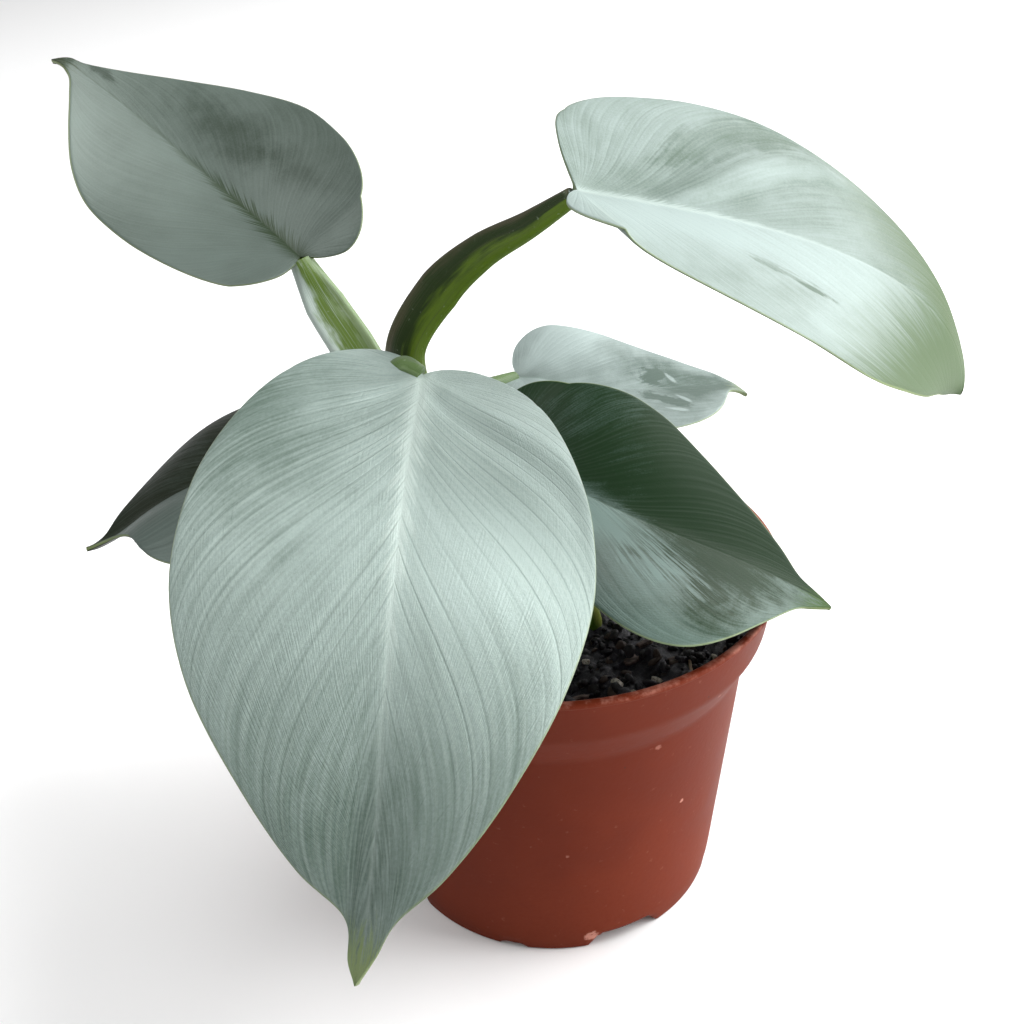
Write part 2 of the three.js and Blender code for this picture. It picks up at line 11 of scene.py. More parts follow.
# %% Load the frame
import math
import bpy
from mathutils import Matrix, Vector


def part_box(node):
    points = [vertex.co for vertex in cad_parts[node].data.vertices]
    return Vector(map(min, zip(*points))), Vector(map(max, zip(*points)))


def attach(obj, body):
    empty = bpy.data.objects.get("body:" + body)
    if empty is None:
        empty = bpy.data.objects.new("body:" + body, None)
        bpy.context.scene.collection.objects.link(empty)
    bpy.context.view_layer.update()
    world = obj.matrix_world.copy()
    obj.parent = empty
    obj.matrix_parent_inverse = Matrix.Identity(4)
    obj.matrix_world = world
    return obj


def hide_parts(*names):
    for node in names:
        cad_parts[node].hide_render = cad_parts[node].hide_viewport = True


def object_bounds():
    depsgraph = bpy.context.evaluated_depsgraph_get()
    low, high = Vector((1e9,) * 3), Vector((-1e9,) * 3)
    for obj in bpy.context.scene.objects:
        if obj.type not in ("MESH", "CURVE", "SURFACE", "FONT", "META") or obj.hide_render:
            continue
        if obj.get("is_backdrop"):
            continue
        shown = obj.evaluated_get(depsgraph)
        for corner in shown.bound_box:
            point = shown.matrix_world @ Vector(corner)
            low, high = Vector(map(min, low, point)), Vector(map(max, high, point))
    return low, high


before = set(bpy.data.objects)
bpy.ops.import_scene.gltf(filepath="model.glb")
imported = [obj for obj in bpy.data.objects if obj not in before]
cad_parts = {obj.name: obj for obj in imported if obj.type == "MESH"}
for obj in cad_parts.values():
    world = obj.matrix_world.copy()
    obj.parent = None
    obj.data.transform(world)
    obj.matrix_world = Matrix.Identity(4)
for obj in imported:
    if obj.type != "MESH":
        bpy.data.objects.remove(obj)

from types import SimpleNamespace

import bmesh
import bpy
import numpy as np
from mathutils import Matrix

cad_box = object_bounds()
MM = 0.001
low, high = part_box("pot")
POT_AXIS = np.array([(low[0] + high[0]) / 2, (low[1] + high[1]) / 2, 0.0])


def in_frame(points):
    """Millimetres round the pot's axis to metres in the shared frame."""
    return np.asarray(points, float) * MM + POT_AXIS


print("pieces:", len(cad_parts), " pot axis at", POT_AXIS.round(4))

# %% [markdown]
# ## Camera
# The pot's lip and foot both show as ellipses, and their flatness gives the angle from
# which the plant was seen: about 32 degrees down. The distance follows from how much the
# foot tapers away. The lens is worked out from the width of the lip in the frame.
# A camera looks along its own -Z, so its matrix is built from right, up and back.

# %% Place the camera
LOOK_AT_HEIGHT = 48
VIEW_DISTANCE = 400
VIEW_ELEVATION = math.radians(39.3)
YAW, PITCH, ROLL = np.radians([1.55, 31.7, -2.3])
LENS = 50.6
NEAREST_SEEN = 0.01


def unit(v):
    """Vectors of length 1 in the same direction."""
    v = np.asarray(v, float)
    return v / np.linalg.norm(v, axis=-1, keepdims=True)


def add_camera():
    """A camera in front of the plant, turned by yaw, pitch and roll."""
    back = VIEW_DISTANCE * math.cos(VIEW_ELEVATION)
    above = VIEW_DISTANCE * math.sin(VIEW_ELEVATION)
    eye = [0, -back, LOOK_AT_HEIGHT + above]
    flat = math.cos(PITCH)
    forward = np.array([-math.sin(YAW) * flat, math.cos(YAW) * flat, -math.sin(PITCH)])
    level = np.array([math.cos(YAW), math.sin(YAW), 0])
    upright = np.cross(level, forward)
    right = math.cos(ROLL) * level + math.sin(ROLL) * upright
    up = math.cos(ROLL) * upright - math.sin(ROLL) * level
    camera = bpy.data.objects.new("camera", bpy.data.cameras.new("camera"))
    bpy.context.scene.collection.objects.link(camera)
    turn = Matrix([list(axis) for axis in (right, up, -forward)]).transposed()
    camera.matrix_world = Matrix.Translation(in_frame(eye)) @ turn.to_4x4()
    camera.data.lens = LENS
    camera.data.clip_start = NEAREST_SEEN
    bpy.context.scene.camera = camera
    return camera


camera = add_camera()
print("camera at", np.array(camera.location).round(3), "lens", LENS)

# %% [markdown]
# ## Floor and light
# The plant stands on a plain pale sheet. The leaves tell where the light was: the high
# right blade, which mirrors what lies low behind the plant on the right, is almost white,
# and the right blade's upper half, which faces the viewer, is dark. So the main light is a
# wide soft one on the right and a little behind the plant, with a weaker one further behind
# and a soft box overhead. A fill from the left keeps the far side open, a low panel on the
# right lights the pot's wall, and the front gets only a weak fill. The standard view keeps
# a white floor white.

# %% Floor, lights and surroundings
FLOOR_SIZE = 8.0
FLOOR_PAINT = (0.93, 0.93, 0.93)
FLOOR_ROUGHNESS = 0.9
AIM_AT_LEAVES = (0, 0, 110)
AIM_AT_POT = (0, 0, 40)
SURROUNDINGS = 0.31


def add_floor():
    """One large square that only carries the light."""
    half = FLOOR_SIZE / 2
    corners = [(-half, -half, 0), (half, -half, 0), (half, half, 0), (-half, half, 0)]
    mesh = bpy.data.meshes.new("floor")
    mesh.from_pydata(corners, [], [(0, 1, 2, 3)])
    floor = bpy.data.objects.new("floor", mesh)
    bpy.context.scene.collection.objects.link(floor)
    paint = bpy.data.materials.new("floor sheet")
    paint.use_nodes = True
    shader = paint.node_tree.nodes["Principled BSDF"]
    shader.inputs["Base Color"].default_value = (*FLOOR_PAINT, 1)
    shader.inputs["Roughness"].default_value = FLOOR_ROUGHNESS
    mesh.materials.append(paint)
    floor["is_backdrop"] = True
    return floor


def add_light(name, azimuth, elevation, distance, width, height, power, aim=AIM_AT_LEAVES):
    """A soft panel, placed by the direction it shines from: azimuth 0 is behind the plant."""
    a, e = math.radians(azimuth), math.radians(elevation)
    away = np.array([math.sin(a) * math.cos(e), math.cos(a) * math.cos(e), math.sin(e)])
    panel = bpy.data.lights.new(name, "AREA")
    panel.shape = "RECTANGLE"
    panel.size, panel.size_y = width, height
    panel.energy = power
    light = bpy.data.objects.new(name, panel)
    bpy.context.scene.collection.objects.link(light)
    right = unit(np.cross([0, 0, 1], away))
    up = np.cross(away, right)
    turn = Matrix([list(axis) for axis in (right, up, away)]).transposed()
    light.matrix_world = Matrix.Translation(in_frame(aim) + away * distance) @ turn.to_4x4()
    return light


def set_surroundings(brightness):
    """An even white light from all round."""
    world = bpy.data.worlds.new("studio")
    world.use_nodes = True
    sky = world.node_tree.nodes["Background"]
    sky.inputs["Color"].default_value = (1, 1, 1, 1)
    sky.inputs["Strength"].default_value = brightness
    bpy.context.scene.world = world


add_floor()
add_light("window on the right", azimuth=62, elevation=30, distance=1.3, width=1.6, height=1.1, power=19)
add_light("window behind", azimuth=28, elevation=28, distance=1.4, width=1.2, height=0.9, power=4)
add_light("soft box overhead", azimuth=90, elevation=56, distance=1.2, width=0.7, height=0.7, power=12)
add_light("fill in front", azimuth=195, elevation=40, distance=1.3, width=0.8, height=0.8, power=1)
add_light("fill from the left", azimuth=-100, elevation=60, distance=1.3, width=0.9, height=0.9, power=7.5)
add_light("low panel on the right", azimuth=100, elevation=8, distance=1.1, width=0.5, height=0.3, power=8,
          aim=AIM_AT_POT)
set_surroundings(SURROUNDINGS)
bpy.context.scene.view_settings.view_transform = "Standard"

# %% [markdown]
# ## Helpers for meshes
# Most pieces here are sheets or tubes: rows of points joined to the next row. One helper
# joins such rows, one welds points that fall together, and one turns points and faces into
# an object that rides on the frame.

# %% Mesh helpers
def row_faces(rows, columns, closed=False):
    """Quads between rows of points; closed joins the last column to the first."""
    cells = columns if closed else columns - 1
    row, column = np.meshgrid(np.arange(rows - 1), np.arange(cells), indexing="ij")
    near = row * columns + column
    side = row * columns + (column + 1) % columns
    return np.stack([near, side, side + columns, near + columns], -1).reshape(-1, 4)


def weld(points, tolerance=1e-3):
    """Points that fall together become one. Returns those kept and each one's new number."""
    keys = np.round(points / tolerance).astype(np.int64)
    _, first, place = np.unique(keys, axis=0, return_index=True, return_inverse=True)
    return first, place.reshape(-1)


def make_piece(name, points, faces, materials, replaced=(), face_material=None):
    """Builds a smooth mesh object from points in mm, and puts it in the frame."""
    mesh = bpy.data.meshes.new(name)
    mesh.from_pydata(in_frame(points).tolist(), [], [list(face) for face in faces])
    for material in materials:
        mesh.materials.append(material)
    mesh.shade_smooth()
    if face_material is not None:
        mesh.polygons.foreach_set("material_index", np.asarray(face_material, np.int32))
    piece = bpy.data.objects.new(name, mesh)
    bpy.context.scene.collection.objects.link(piece)
    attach(piece, "root")
    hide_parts(*replaced)
    return piece


def three_sided(faces):
    """Quads with two corners alike become triangles, and flat ones go."""
    kept = []
    for face in faces:
        corners = [c for i, c in enumerate(face) if c != face[i - 1]]
        if len(set(corners)) > 2:
            kept.append(corners)
    return kept


print("faces between 3 rows of 5 points:", len(row_faces(3, 5)))

# %% [markdown]
# ## Helpers for finishes
# Every finish is a small tree of nodes. These helpers keep the trees short: they add a
# node, wire what is given to its sockets, and hand back its output. A number stays on the
# socket itself, and a wire goes there only for what changes over the surface.

# %% Finish helpers
# sockets of a Mix node when it mixes colours
MIX_SHARE, MIX_FIRST, MIX_SECOND, MIX_RESULT = 0, 6, 7, 2


class Finish:
    """A material and short ways to add nodes to it."""

    def __init__(self, name, roughness=0.5):
        self.material = bpy.data.materials.new(name)
        self.material.use_nodes = True
        self.tree = self.material.node_tree
        self.shader = self.tree.nodes["Principled BSDF"]
        self.shader.inputs["Roughness"].default_value = roughness

    def plug(self, socket, value):
        """Wires a node's output to a socket, or sets a plain value on it."""
        if isinstance(value, bpy.types.NodeSocket):
            self.tree.links.new(value, socket)
        elif isinstance(value, tuple) and len(value) == 3 and socket.type == "RGBA":
            socket.default_value = (*value, 1)
        else:
            socket.default_value = value

    def node(self, kind, output=0, settings=None, **inputs):
        """Adds a node. A socket is given by its name, or as i0, i1 or i2 by its number."""
        made = self.tree.nodes.new("ShaderNode" + kind)
        for key, value in (settings or {}).items():
            setattr(made, key, value)
        for key, value in inputs.items():
            numbered = key[0] == "i" and key[1:].isdigit()
            self.plug(made.inputs[int(key[1:]) if numbered else key], value)
        return made.outputs[output]

    def sums(self, operation, a, b=0.0, c=0.0):
        """One step of arithmetic on values that change over the surface."""
        return self.node("Math", settings={"operation": operation}, i0=a, i1=b, i2=c)

    def plus(self, a, b):
        return self.sums("ADD", a, b)

    def times(self, a, b):
        return self.sums("MULTIPLY", a, b)

    def clamp(self, a):
        return self.node("Clamp", Value=a)

    def fade(self, value, start, end, low=0.0, high=1.0):
        """A smooth step from low to high while value goes from start to end."""
        made = self.tree.nodes.new("ShaderNodeMapRange")
        made.interpolation_type = "SMOOTHSTEP"
        for socket, given in zip(made.inputs, (value, start, end, low, high)):
            self.plug(socket, given)
        return made.outputs[0]

    def mix(self, share, a, b):
        """Colour a where share is 0, colour b where it is 1."""
        made = self.tree.nodes.new("ShaderNodeMix")
        made.data_type = "RGBA"
        self.plug(made.inputs[MIX_SHARE], share)
        self.plug(made.inputs[MIX_FIRST], a)
        self.plug(made.inputs[MIX_SECOND], b)
        return made.outputs[MIX_RESULT]

    def vector(self, x=0.0, y=0.0, z=0.0):
        return self.node("CombineXYZ", X=x, Y=y, Z=z)

    def split(self, vector):
        made = self.tree.nodes.new("ShaderNodeSeparateXYZ")
        self.plug(made.inputs[0], vector)
        return made.outputs

    def noise(self, vector, scale, detail=2.0, roughness=0.5):
        """Soft random values round 0.5. The scale counts the lumps in one unit."""
        made = self.tree.nodes.new("ShaderNodeTexNoise")
        self.plug(made.inputs["Vector"], vector)
        for socket, value in (("Scale", scale), ("Detail", detail), ("Roughness", roughness)):
            made.inputs[socket].default_value = value
        return made.outputs[0]

    def sway(self, noise, amount):
        """Turns a noise into a value that swings from -amount to amount."""
        return self.fade(noise, 0.3, 0.7, -amount, amount)

    def place(self):
        """Where the point lies in the frame, in metres."""
        return self.node("TexCoord", "Object")

    def layer(self, name):
        """A pair of coordinates laid on the mesh."""
        return self.split(self.node("UVMap", settings={"uv_map": name}))

    def number(self, name):
        """A number kept at each point or face of the mesh."""
        return self.node("Attribute", "Fac", settings={"attribute_name": name})

    def bump(self, height, depth, strength=1.0, below=None):
        """Fine relief of a depth in metres, laid over the relief below it."""
        made = self.tree.nodes.new("ShaderNodeBump")
        made.inputs["Strength"].default_value = strength
        made.inputs["Distance"].default_value = depth
        self.plug(made.inputs["Height"], height)
        if below is not None:
            self.plug(made.inputs["Normal"], below)
        return made.outputs[0]

    def done(self, **inputs):
        """Wires the shader and gives the material back."""
        for key, value in inputs.items():
            self.plug(self.shader.inputs[key.replace("_", " ")], value)
        return self.material


print("finish helpers:", ", ".join(name for name in vars(Finish) if name[0] != "_"))

# %% [markdown]
# ## The pot
# A nursery pot is moulded plastic: a thin tapering wall, a wider collar with a rolled lip,
# and a foot ring with cuts that let water out. It is a turned shape, so one profile is
# spun round the axis. Its corners are rounded first, because moulded plastic has no sharp
# ones. The cuts in the foot are made by lifting the lowest points of the foot where a cut
# lies, and the drain holes are cut last, with a Boolean modifier.

# %% Pot dimensions
LIP_RADIUS = 60.0
LIP_WALL = 2.0
POT_HEIGHT = 96.0
LIP_DROP = 1.6
COLLAR_RADIUS = 56.8
COLLAR_HEIGHT = 82.0
SHOULDER_RADIUS = 51.8
SHOULDER_HEIGHT = 72.5
BASE_RADIUS = 45.0
BASE_HEIGHT = 5.5
FOOT_RADIUS = 44.2
FOOT_WALL = 2.8
WALL_AT_LIP = 59.0
WALL = 1.4
POT_SEGMENTS = 288
# cuts in the foot: from and to in degrees, height and slant of the sides in mm
WIDE_CUT = {"from": 10.7, "to": 38.5, "high": 4.8, "slant": 3.9}
NARROW_CUT = {"from": -20.0, "to": -10.0, "high": 1.5, "slant": 1.3}
CUTS_EVERY = 90
print("pot:", 2 * LIP_RADIUS, "mm wide and", POT_HEIGHT, "mm high")

# %% Pot profile
def wall_radius(height):
    """Outer radius of the pot's wall at a height."""
    heights = [0, BASE_HEIGHT, SHOULDER_HEIGHT, COLLAR_HEIGHT, POT_HEIGHT]
    radii = [FOOT_RADIUS, BASE_RADIUS, SHOULDER_RADIUS, COLLAR_RADIUS, WALL_AT_LIP]
    return float(np.interp(height, heights, radii))


def rounded(corners, steps=5):
    """Each corner is (radius, height, rounding). Returns the path with its corners rounded."""
    path = []
    for i, (r, z, rounding) in enumerate(corners):
        here = np.array([r, z])
        if not rounding:
            path.append(here)
            continue
        ends = []
        for beside in (corners[i - 1], corners[i + 1]):
            side = np.array(beside[:2]) - here
            length = np.linalg.norm(side)
            ends.append(here + side / length * min(rounding, length / 2))
        start, end = ends
        for t in np.linspace(0, 1, steps):
            path.append((1 - t) ** 2 * start + 2 * t * (1 - t) * here + t ** 2 * end)
    return np.array(path)


def pot_profile():
    """The outline that is spun: under the base, up the outside, down the inside."""
    lip_foot = POT_HEIGHT - LIP_DROP
    inner_floor = BASE_HEIGHT + WALL
    foot_inside = FOOT_RADIUS - FOOT_WALL
    return rounded([
        (0, BASE_HEIGHT, 0),
        (foot_inside, BASE_HEIGHT, 0.4),
        (foot_inside, 0, 0.5),
        (FOOT_RADIUS, 0, 0.7),
        (BASE_RADIUS, BASE_HEIGHT, 1.5),
        (SHOULDER_RADIUS, SHOULDER_HEIGHT, 1.6),
        (COLLAR_RADIUS, COLLAR_HEIGHT, 1.6),
        (wall_radius(lip_foot), lip_foot, 0.3),
        (LIP_RADIUS, lip_foot, 0.6),
        (LIP_RADIUS, POT_HEIGHT, 0.8),
        (LIP_RADIUS - LIP_WALL, POT_HEIGHT, 0.7),
        (wall_radius(COLLAR_HEIGHT) - WALL, COLLAR_HEIGHT, 1.5),
        (wall_radius(SHOULDER_HEIGHT) - WALL, SHOULDER_HEIGHT, 1.5),
        (wall_radius(inner_floor) - WALL, inner_floor, 1.5),
        (0, inner_floor, 0),
    ])


def foot_lift(angle):
    """How high the foot is cut away at each angle, counted in degrees from the front."""
    half = CUTS_EVERY / 2
    turn = (angle + half) % CUTS_EVERY - half
    lift = np.zeros_like(turn)
    for cut in (WIDE_CUT, NARROW_CUT):
        slope = math.degrees(cut["slant"] / FOOT_RADIUS)
        for shift in (0, CUTS_EVERY):
            inside = np.minimum(turn + shift - cut["from"], cut["to"] - turn - shift)
            lift = np.maximum(lift, cut["high"] * np.clip(inside / slope, 0, 1))
    return lift


profile = pot_profile()
print("profile points:", len(profile), " cut at 20 degrees:", foot_lift(np.array([20.0])))

# %% Turn the pot, cut its foot and drill its drain holes
DRAIN_HOLES = 6
DRAIN_RADIUS = 3.5
DRAIN_RING = 29.0
DRILL_SIDES = 32
DRILL_LENGTH = 8.0
NEAR_AXIS = 1.0
FOOT_TOP = BASE_HEIGHT - 0.1


def turned_points(path, segments):
    """A path of (radius, height) spun round the axis: points, and the angle of each column."""
    angle = np.linspace(0, 2 * math.pi, segments, endpoint=False)
    r, z = path[:, :1], path[:, 1:]
    return np.stack([r * np.sin(angle), -r * np.cos(angle), z + 0 * angle], -1), np.degrees(angle)


def drill_drain_holes(pot):
    """Takes six round holes out of the pot's floor."""
    cutters = []
    for i in range(DRAIN_HOLES):
        a = i * 2 * math.pi / DRAIN_HOLES
        centre = in_frame([DRAIN_RING * math.cos(a), DRAIN_RING * math.sin(a), BASE_HEIGHT])
        bpy.ops.mesh.primitive_cylinder_add(
            vertices=DRILL_SIDES, radius=DRAIN_RADIUS * MM, depth=DRILL_LENGTH * MM, location=centre)
        cutters.append(bpy.context.object)
    for cutter in cutters:
        cut = pot.modifiers.new("drain", "BOOLEAN")
        cut.operation, cut.solver, cut.object = "DIFFERENCE", "EXACT", cutter
    bpy.context.view_layer.update()
    worked = pot.evaluated_get(bpy.context.evaluated_depsgraph_get())
    drilled = bpy.data.meshes.new_from_object(worked)
    pot.modifiers.clear()
    pot.data = drilled
    for cutter in cutters:
        bpy.data.objects.remove(cutter)


def make_pot(finish):
    """The whole pot as one closed mesh."""
    points, angle = turned_points(profile, POT_SEGMENTS)
    height = points[..., 2]
    foot = (height < FOOT_TOP) & (np.hypot(points[..., 0], points[..., 1]) > NEAR_AXIS)
    points[..., 2] = np.where(foot, np.maximum(height, foot_lift(angle)), height)
    grid = points.reshape(-1, 3)
    first, place = weld(grid)
    faces = row_faces(len(profile), POT_SEGMENTS, closed=True)[:, ::-1]
    pot = make_piece("pot-shell", grid[first], three_sided(place[faces]), [finish], ["pot"])
    drill_drain_holes(pot)
    return pot


print("pot turned in", POT_SEGMENTS, "steps, with", DRAIN_HOLES, "drain holes")

# %% [markdown]
# ## The pot's plastic
# The plastic is coloured all through, so its colour hardly varies: only a faint mottle, a
# little pale dust that clings low on the wall, and whitish scuffs where pots rub against
# each other, on the lip and on the foot. A painted highlight lies on the inside of the lip.
# Wear is kept to the places where the wall stands out, and the painted highlight to the
# inside of the lip, which the distance from the axis and the height give.

# %% Places on the pot
def on_wall(angle, height):
    """The place in the frame of a spot on the outside of the wall."""
    radius = wall_radius(height)
    a = math.radians(angle)
    return in_frame([radius * math.sin(a), -radius * math.cos(a), height])


def near(f, place, spot, size):
    """1 at a spot, fading to 0 at a distance of size mm."""
    distance = f.node("VectorMath", "Value", {"operation": "DISTANCE"}, i0=place, i1=tuple(spot))
    return f.fade(distance, 0.0, size * MM, 1.0, 0.0)


def from_axis(f, place):
    """Distance of the point from the pot's axis."""
    level = f.node("VectorMath", settings={"operation": "SUBTRACT"}, i0=place, i1=tuple(POT_AXIS))
    flat = f.node("VectorMath", settings={"operation": "MULTIPLY"}, i0=level, i1=(1.0, 1.0, 0.0))
    return f.node("VectorMath", "Value", {"operation": "LENGTH"}, i0=flat)


def inside_of_wall(f, place, height):
    """1 on the inside of the collar, 0 on its outside: the wall's middle is a slanting line."""
    widening = (WALL_AT_LIP - COLLAR_RADIUS) / (POT_HEIGHT - COLLAR_HEIGHT)
    start = COLLAR_RADIUS - WALL / 2 - widening * COLLAR_HEIGHT
    middle = f.sums("MULTIPLY_ADD", height, widening, start * MM)
    beyond = f.sums("SUBTRACT", from_axis(f, place), middle)
    return f.fade(beyond, -0.2 * MM, 0.2 * MM, 1.0, 0.0)


print("a spot half way up the front of the wall:", on_wall(0, POT_HEIGHT / 2).round(4))

# %% Terracotta red plastic
POT_RED = (0.146, 0.023, 0.008)
POT_DEEP_RED = (0.114, 0.015, 0.004)
# pale pink of the scuffs and dust, also used for the painted highlight inside the lip
SCUFF_AND_HIGHLIGHT_PINK = (0.46, 0.20, 0.15)
SOIL_BROWN = (0.04, 0.02, 0.015)
# heights between which the painted highlight on the inside of the lip lies
INNER_LIP_HIGHLIGHT_FROM = POT_HEIGHT - 14
INNER_LIP_HIGHLIGHT_TO = POT_HEIGHT - 5
# pale marks on the wall: angle from the front in degrees, height, size in mm, strength
WALL_MARKS = [
    (42, 45, 0.9, 0.9), (12, 4.5, 2.6, 1.0), (30, 70, 1.2, 0.4), (4, 38, 0.7, 0.4),
    (47, 80, 0.8, 0.5),
]
# dark specks: angle, height, size
DARK_MARKS = [(35, 75, 0.5), (41, 84, 0.45), (20, 67, 0.4)]


def pot_plastic():
    """Red plastic with a mottle, scuffs on the lip, dust, marks and a painted highlight inside the lip."""
    f = Finish("terracotta red plastic", roughness=0.46)
    place = f.place()
    height = f.split(place)[2]
    cloud = f.noise(place, 22, detail=4)
    colour = f.mix(f.fade(cloud, 0.35, 0.7), POT_DEEP_RED, POT_RED)
    grain = f.noise(place, 900, detail=2)
    colour = f.mix(f.times(f.fade(grain, 0.45, 0.7), 0.22), colour, POT_DEEP_RED)
    lip = f.fade(height, (POT_HEIGHT - 1.4) * MM, (POT_HEIGHT - 0.2) * MM)
    rubbed = f.times(lip, f.fade(f.noise(place, 160, detail=5, roughness=0.7), 0.42, 0.66))
    dust = f.times(f.fade(f.noise(place, 420, detail=3), 0.66, 0.78), 0.15)
    pale = f.sums("MAXIMUM", f.times(rubbed, 0.6), dust)
    ragged = f.noise(place, 1100, detail=3)
    for angle, level, size, strength in WALL_MARKS:
        spot = near(f, place, on_wall(angle, level), size * 1.6)
        mark = f.fade(f.times(spot, ragged), 0.2, 0.42)
        pale = f.sums("MAXIMUM", pale, f.times(mark, strength))
    # a painted highlight on the inside of the lip, mixed with the pale scuffs and dust
    inner = inside_of_wall(f, place, height)
    inner_lip_highlight = f.times(inner, f.fade(height, INNER_LIP_HIGHLIGHT_FROM * MM, INNER_LIP_HIGHLIGHT_TO * MM))
    pale = f.sums("MAXIMUM", pale, f.times(inner_lip_highlight, 0.75))
    colour = f.mix(pale, colour, SCUFF_AND_HIGHLIGHT_PINK)
    for angle, level, size in DARK_MARKS:
        spot = near(f, place, on_wall(angle, level), size)
        colour = f.mix(f.times(spot, 0.8), colour, SOIL_BROWN)
    rough = f.fade(cloud, 0.3, 0.7, 0.48, 0.60)
    surface = f.bump(f.noise(place, 700, detail=3), 0.00012, 0.35)
    return f.done(Base_Color=colour, Roughness=rough, Normal=surface, Specular_IOR_Level=0.07)


pot = make_pot(pot_plastic())
print("pot:", len(pot.data.polygons), "faces")

# %% [markdown]
# ## The soil
# Potting soil is a heap of crumbs of peat and bark fibre, nearly black. The bluish shine
# where a crumb's smooth side shows is a painted sheen in the colour of some crumbs. Its body
# is one closed mesh in the shape of the pot's inside with an uneven top. Real crumbs are
# then heaped on it as small dented lumps, all in one mesh, each with a shade of its own kept
# in an attribute.

# %% Soil dimensions and the uneven top
SOIL_TOP = 84.0
SOIL_REACH = 52.0
SOIL_FLOOR = BASE_HEIGHT + WALL + 0.3
SOIL_GAP = 0.35
SOIL_SINK = 0.3
MOUND_HEIGHT = 1.6
MOUND_LEFT = 4
MOUND_SPREAD = 300


def smooth(value, start, end):
    """0 up to start, 1 from end on, and a soft step between them."""
    t = np.clip((value - start) / (end - start), 0, 1)
    return t * t * (3 - 2 * t)


def crumble(x, y):
    """How far the soil's top stands above its mean level. It is flat at the pot's wall."""
    fade = smooth(SOIL_REACH + 3 - np.hypot(x, y), 0, 8)
    mound = MOUND_HEIGHT * np.exp(-((x + MOUND_LEFT) ** 2 + y ** 2) / MOUND_SPREAD)
    lumps = 0.9 * np.sin(0.31 * x + 1) * np.cos(0.27 * y) + 0.6 * np.sin(0.71 * x - 0.53 * y)
    return fade * (mound + lumps + 0.4 * np.cos(1.3 * x + 0.4) * np.sin(1.1 * y))


def inside_pot(height, gap):
    """Radius of the pot's inside at a height, less a gap."""
    return wall_radius(height) - WALL - gap


def soil_body(finish, rings=70, segments=220):
    """The soil as one closed mesh, spun like the pot, with its top made uneven."""
    r = np.linspace(0, inside_pot(SOIL_TOP, SOIL_GAP), rings)
    top = np.stack([r, np.full(rings, SOIL_TOP)], -1)
    wall = [(inside_pot(z, SOIL_GAP), z) for z in (COLLAR_HEIGHT, SHOULDER_HEIGHT, SOIL_FLOOR)]
    path = np.vstack([top, wall, [(0, SOIL_FLOOR)]])
    points, _ = turned_points(path, segments)
    x, y = points[:rings, :, 0], points[:rings, :, 1]
    fine = 0.35 * np.sin(2.3 * x + 1.7 * np.sin(1.9 * y)) * np.sin(2.1 * y + 1.3 * np.sin(2.2 * x))
    points[:rings, :, 2] += crumble(x, y) + fine - SOIL_SINK
    grid = points.reshape(-1, 3)
    first, place = weld(grid)
    faces = place[row_faces(len(path), segments, closed=True)[:, ::-1]]
    return make_piece("soil-body", grid[first], three_sided(faces), [finish], ["soil"])


print("the soil's mound stands", float(crumble(-MOUND_LEFT, 0).round(2)), "mm above its mean level")

# %% Crumbs, heaped on the soil
CRUMBS = 1650
CRUMB_SEED = 11
CRUMB_SIZES = (0.55, 1.9)
# a higher power makes small crumbs more common
CRUMB_POWER = 2.2
CRUMB_GAP = 1.2
# places kept free of crumbs: x, y and radius of the foot of the stem and of the shoot
STEM_FOOT = (-19.0, -6.0, 6.5)
SHOOT_FOOT = (10.8, -12.6, 3.6)


def lump(detail):
    """A round lump: points and faces of a subdivided icosahedron."""
    ball = bmesh.new()
    bmesh.ops.create_icosphere(ball, subdivisions=detail, radius=1)
    points = np.array([v.co[:] for v in ball.verts])
    faces = np.array([[v.index for v in face.verts] for face in ball.faces])
    ball.free()
    return points, faces


def dented(points, draw, depth=0.35, dents=5):
    """Pushes the lump in on a few sides, so that it looks broken rather than round."""
    out = points.copy()
    for _ in range(dents):
        side = unit(draw.normal(size=3))
        cut = draw.uniform(0.45, 0.85)
        over = np.maximum(out @ side - cut, 0)
        out -= over[:, None] * side * draw.uniform(0.7, 1.0)
    return out * (1 + depth * draw.uniform(-0.5, 0.5, size=(len(points), 1)) * 0.6)


def turned_any_way(draw):
    """A random turn in space, as a matrix."""
    w, x, y, z = unit(draw.normal(size=4))
    return np.array([
        [1 - 2 * (y * y + z * z), 2 * (x * y - z * w), 2 * (x * z + y * w)],
        [2 * (x * y + z * w), 1 - 2 * (x * x + z * z), 2 * (y * z - x * w)],
        [2 * (x * z - y * w), 2 * (y * z + x * w), 1 - 2 * (x * x + y * y)],
    ])


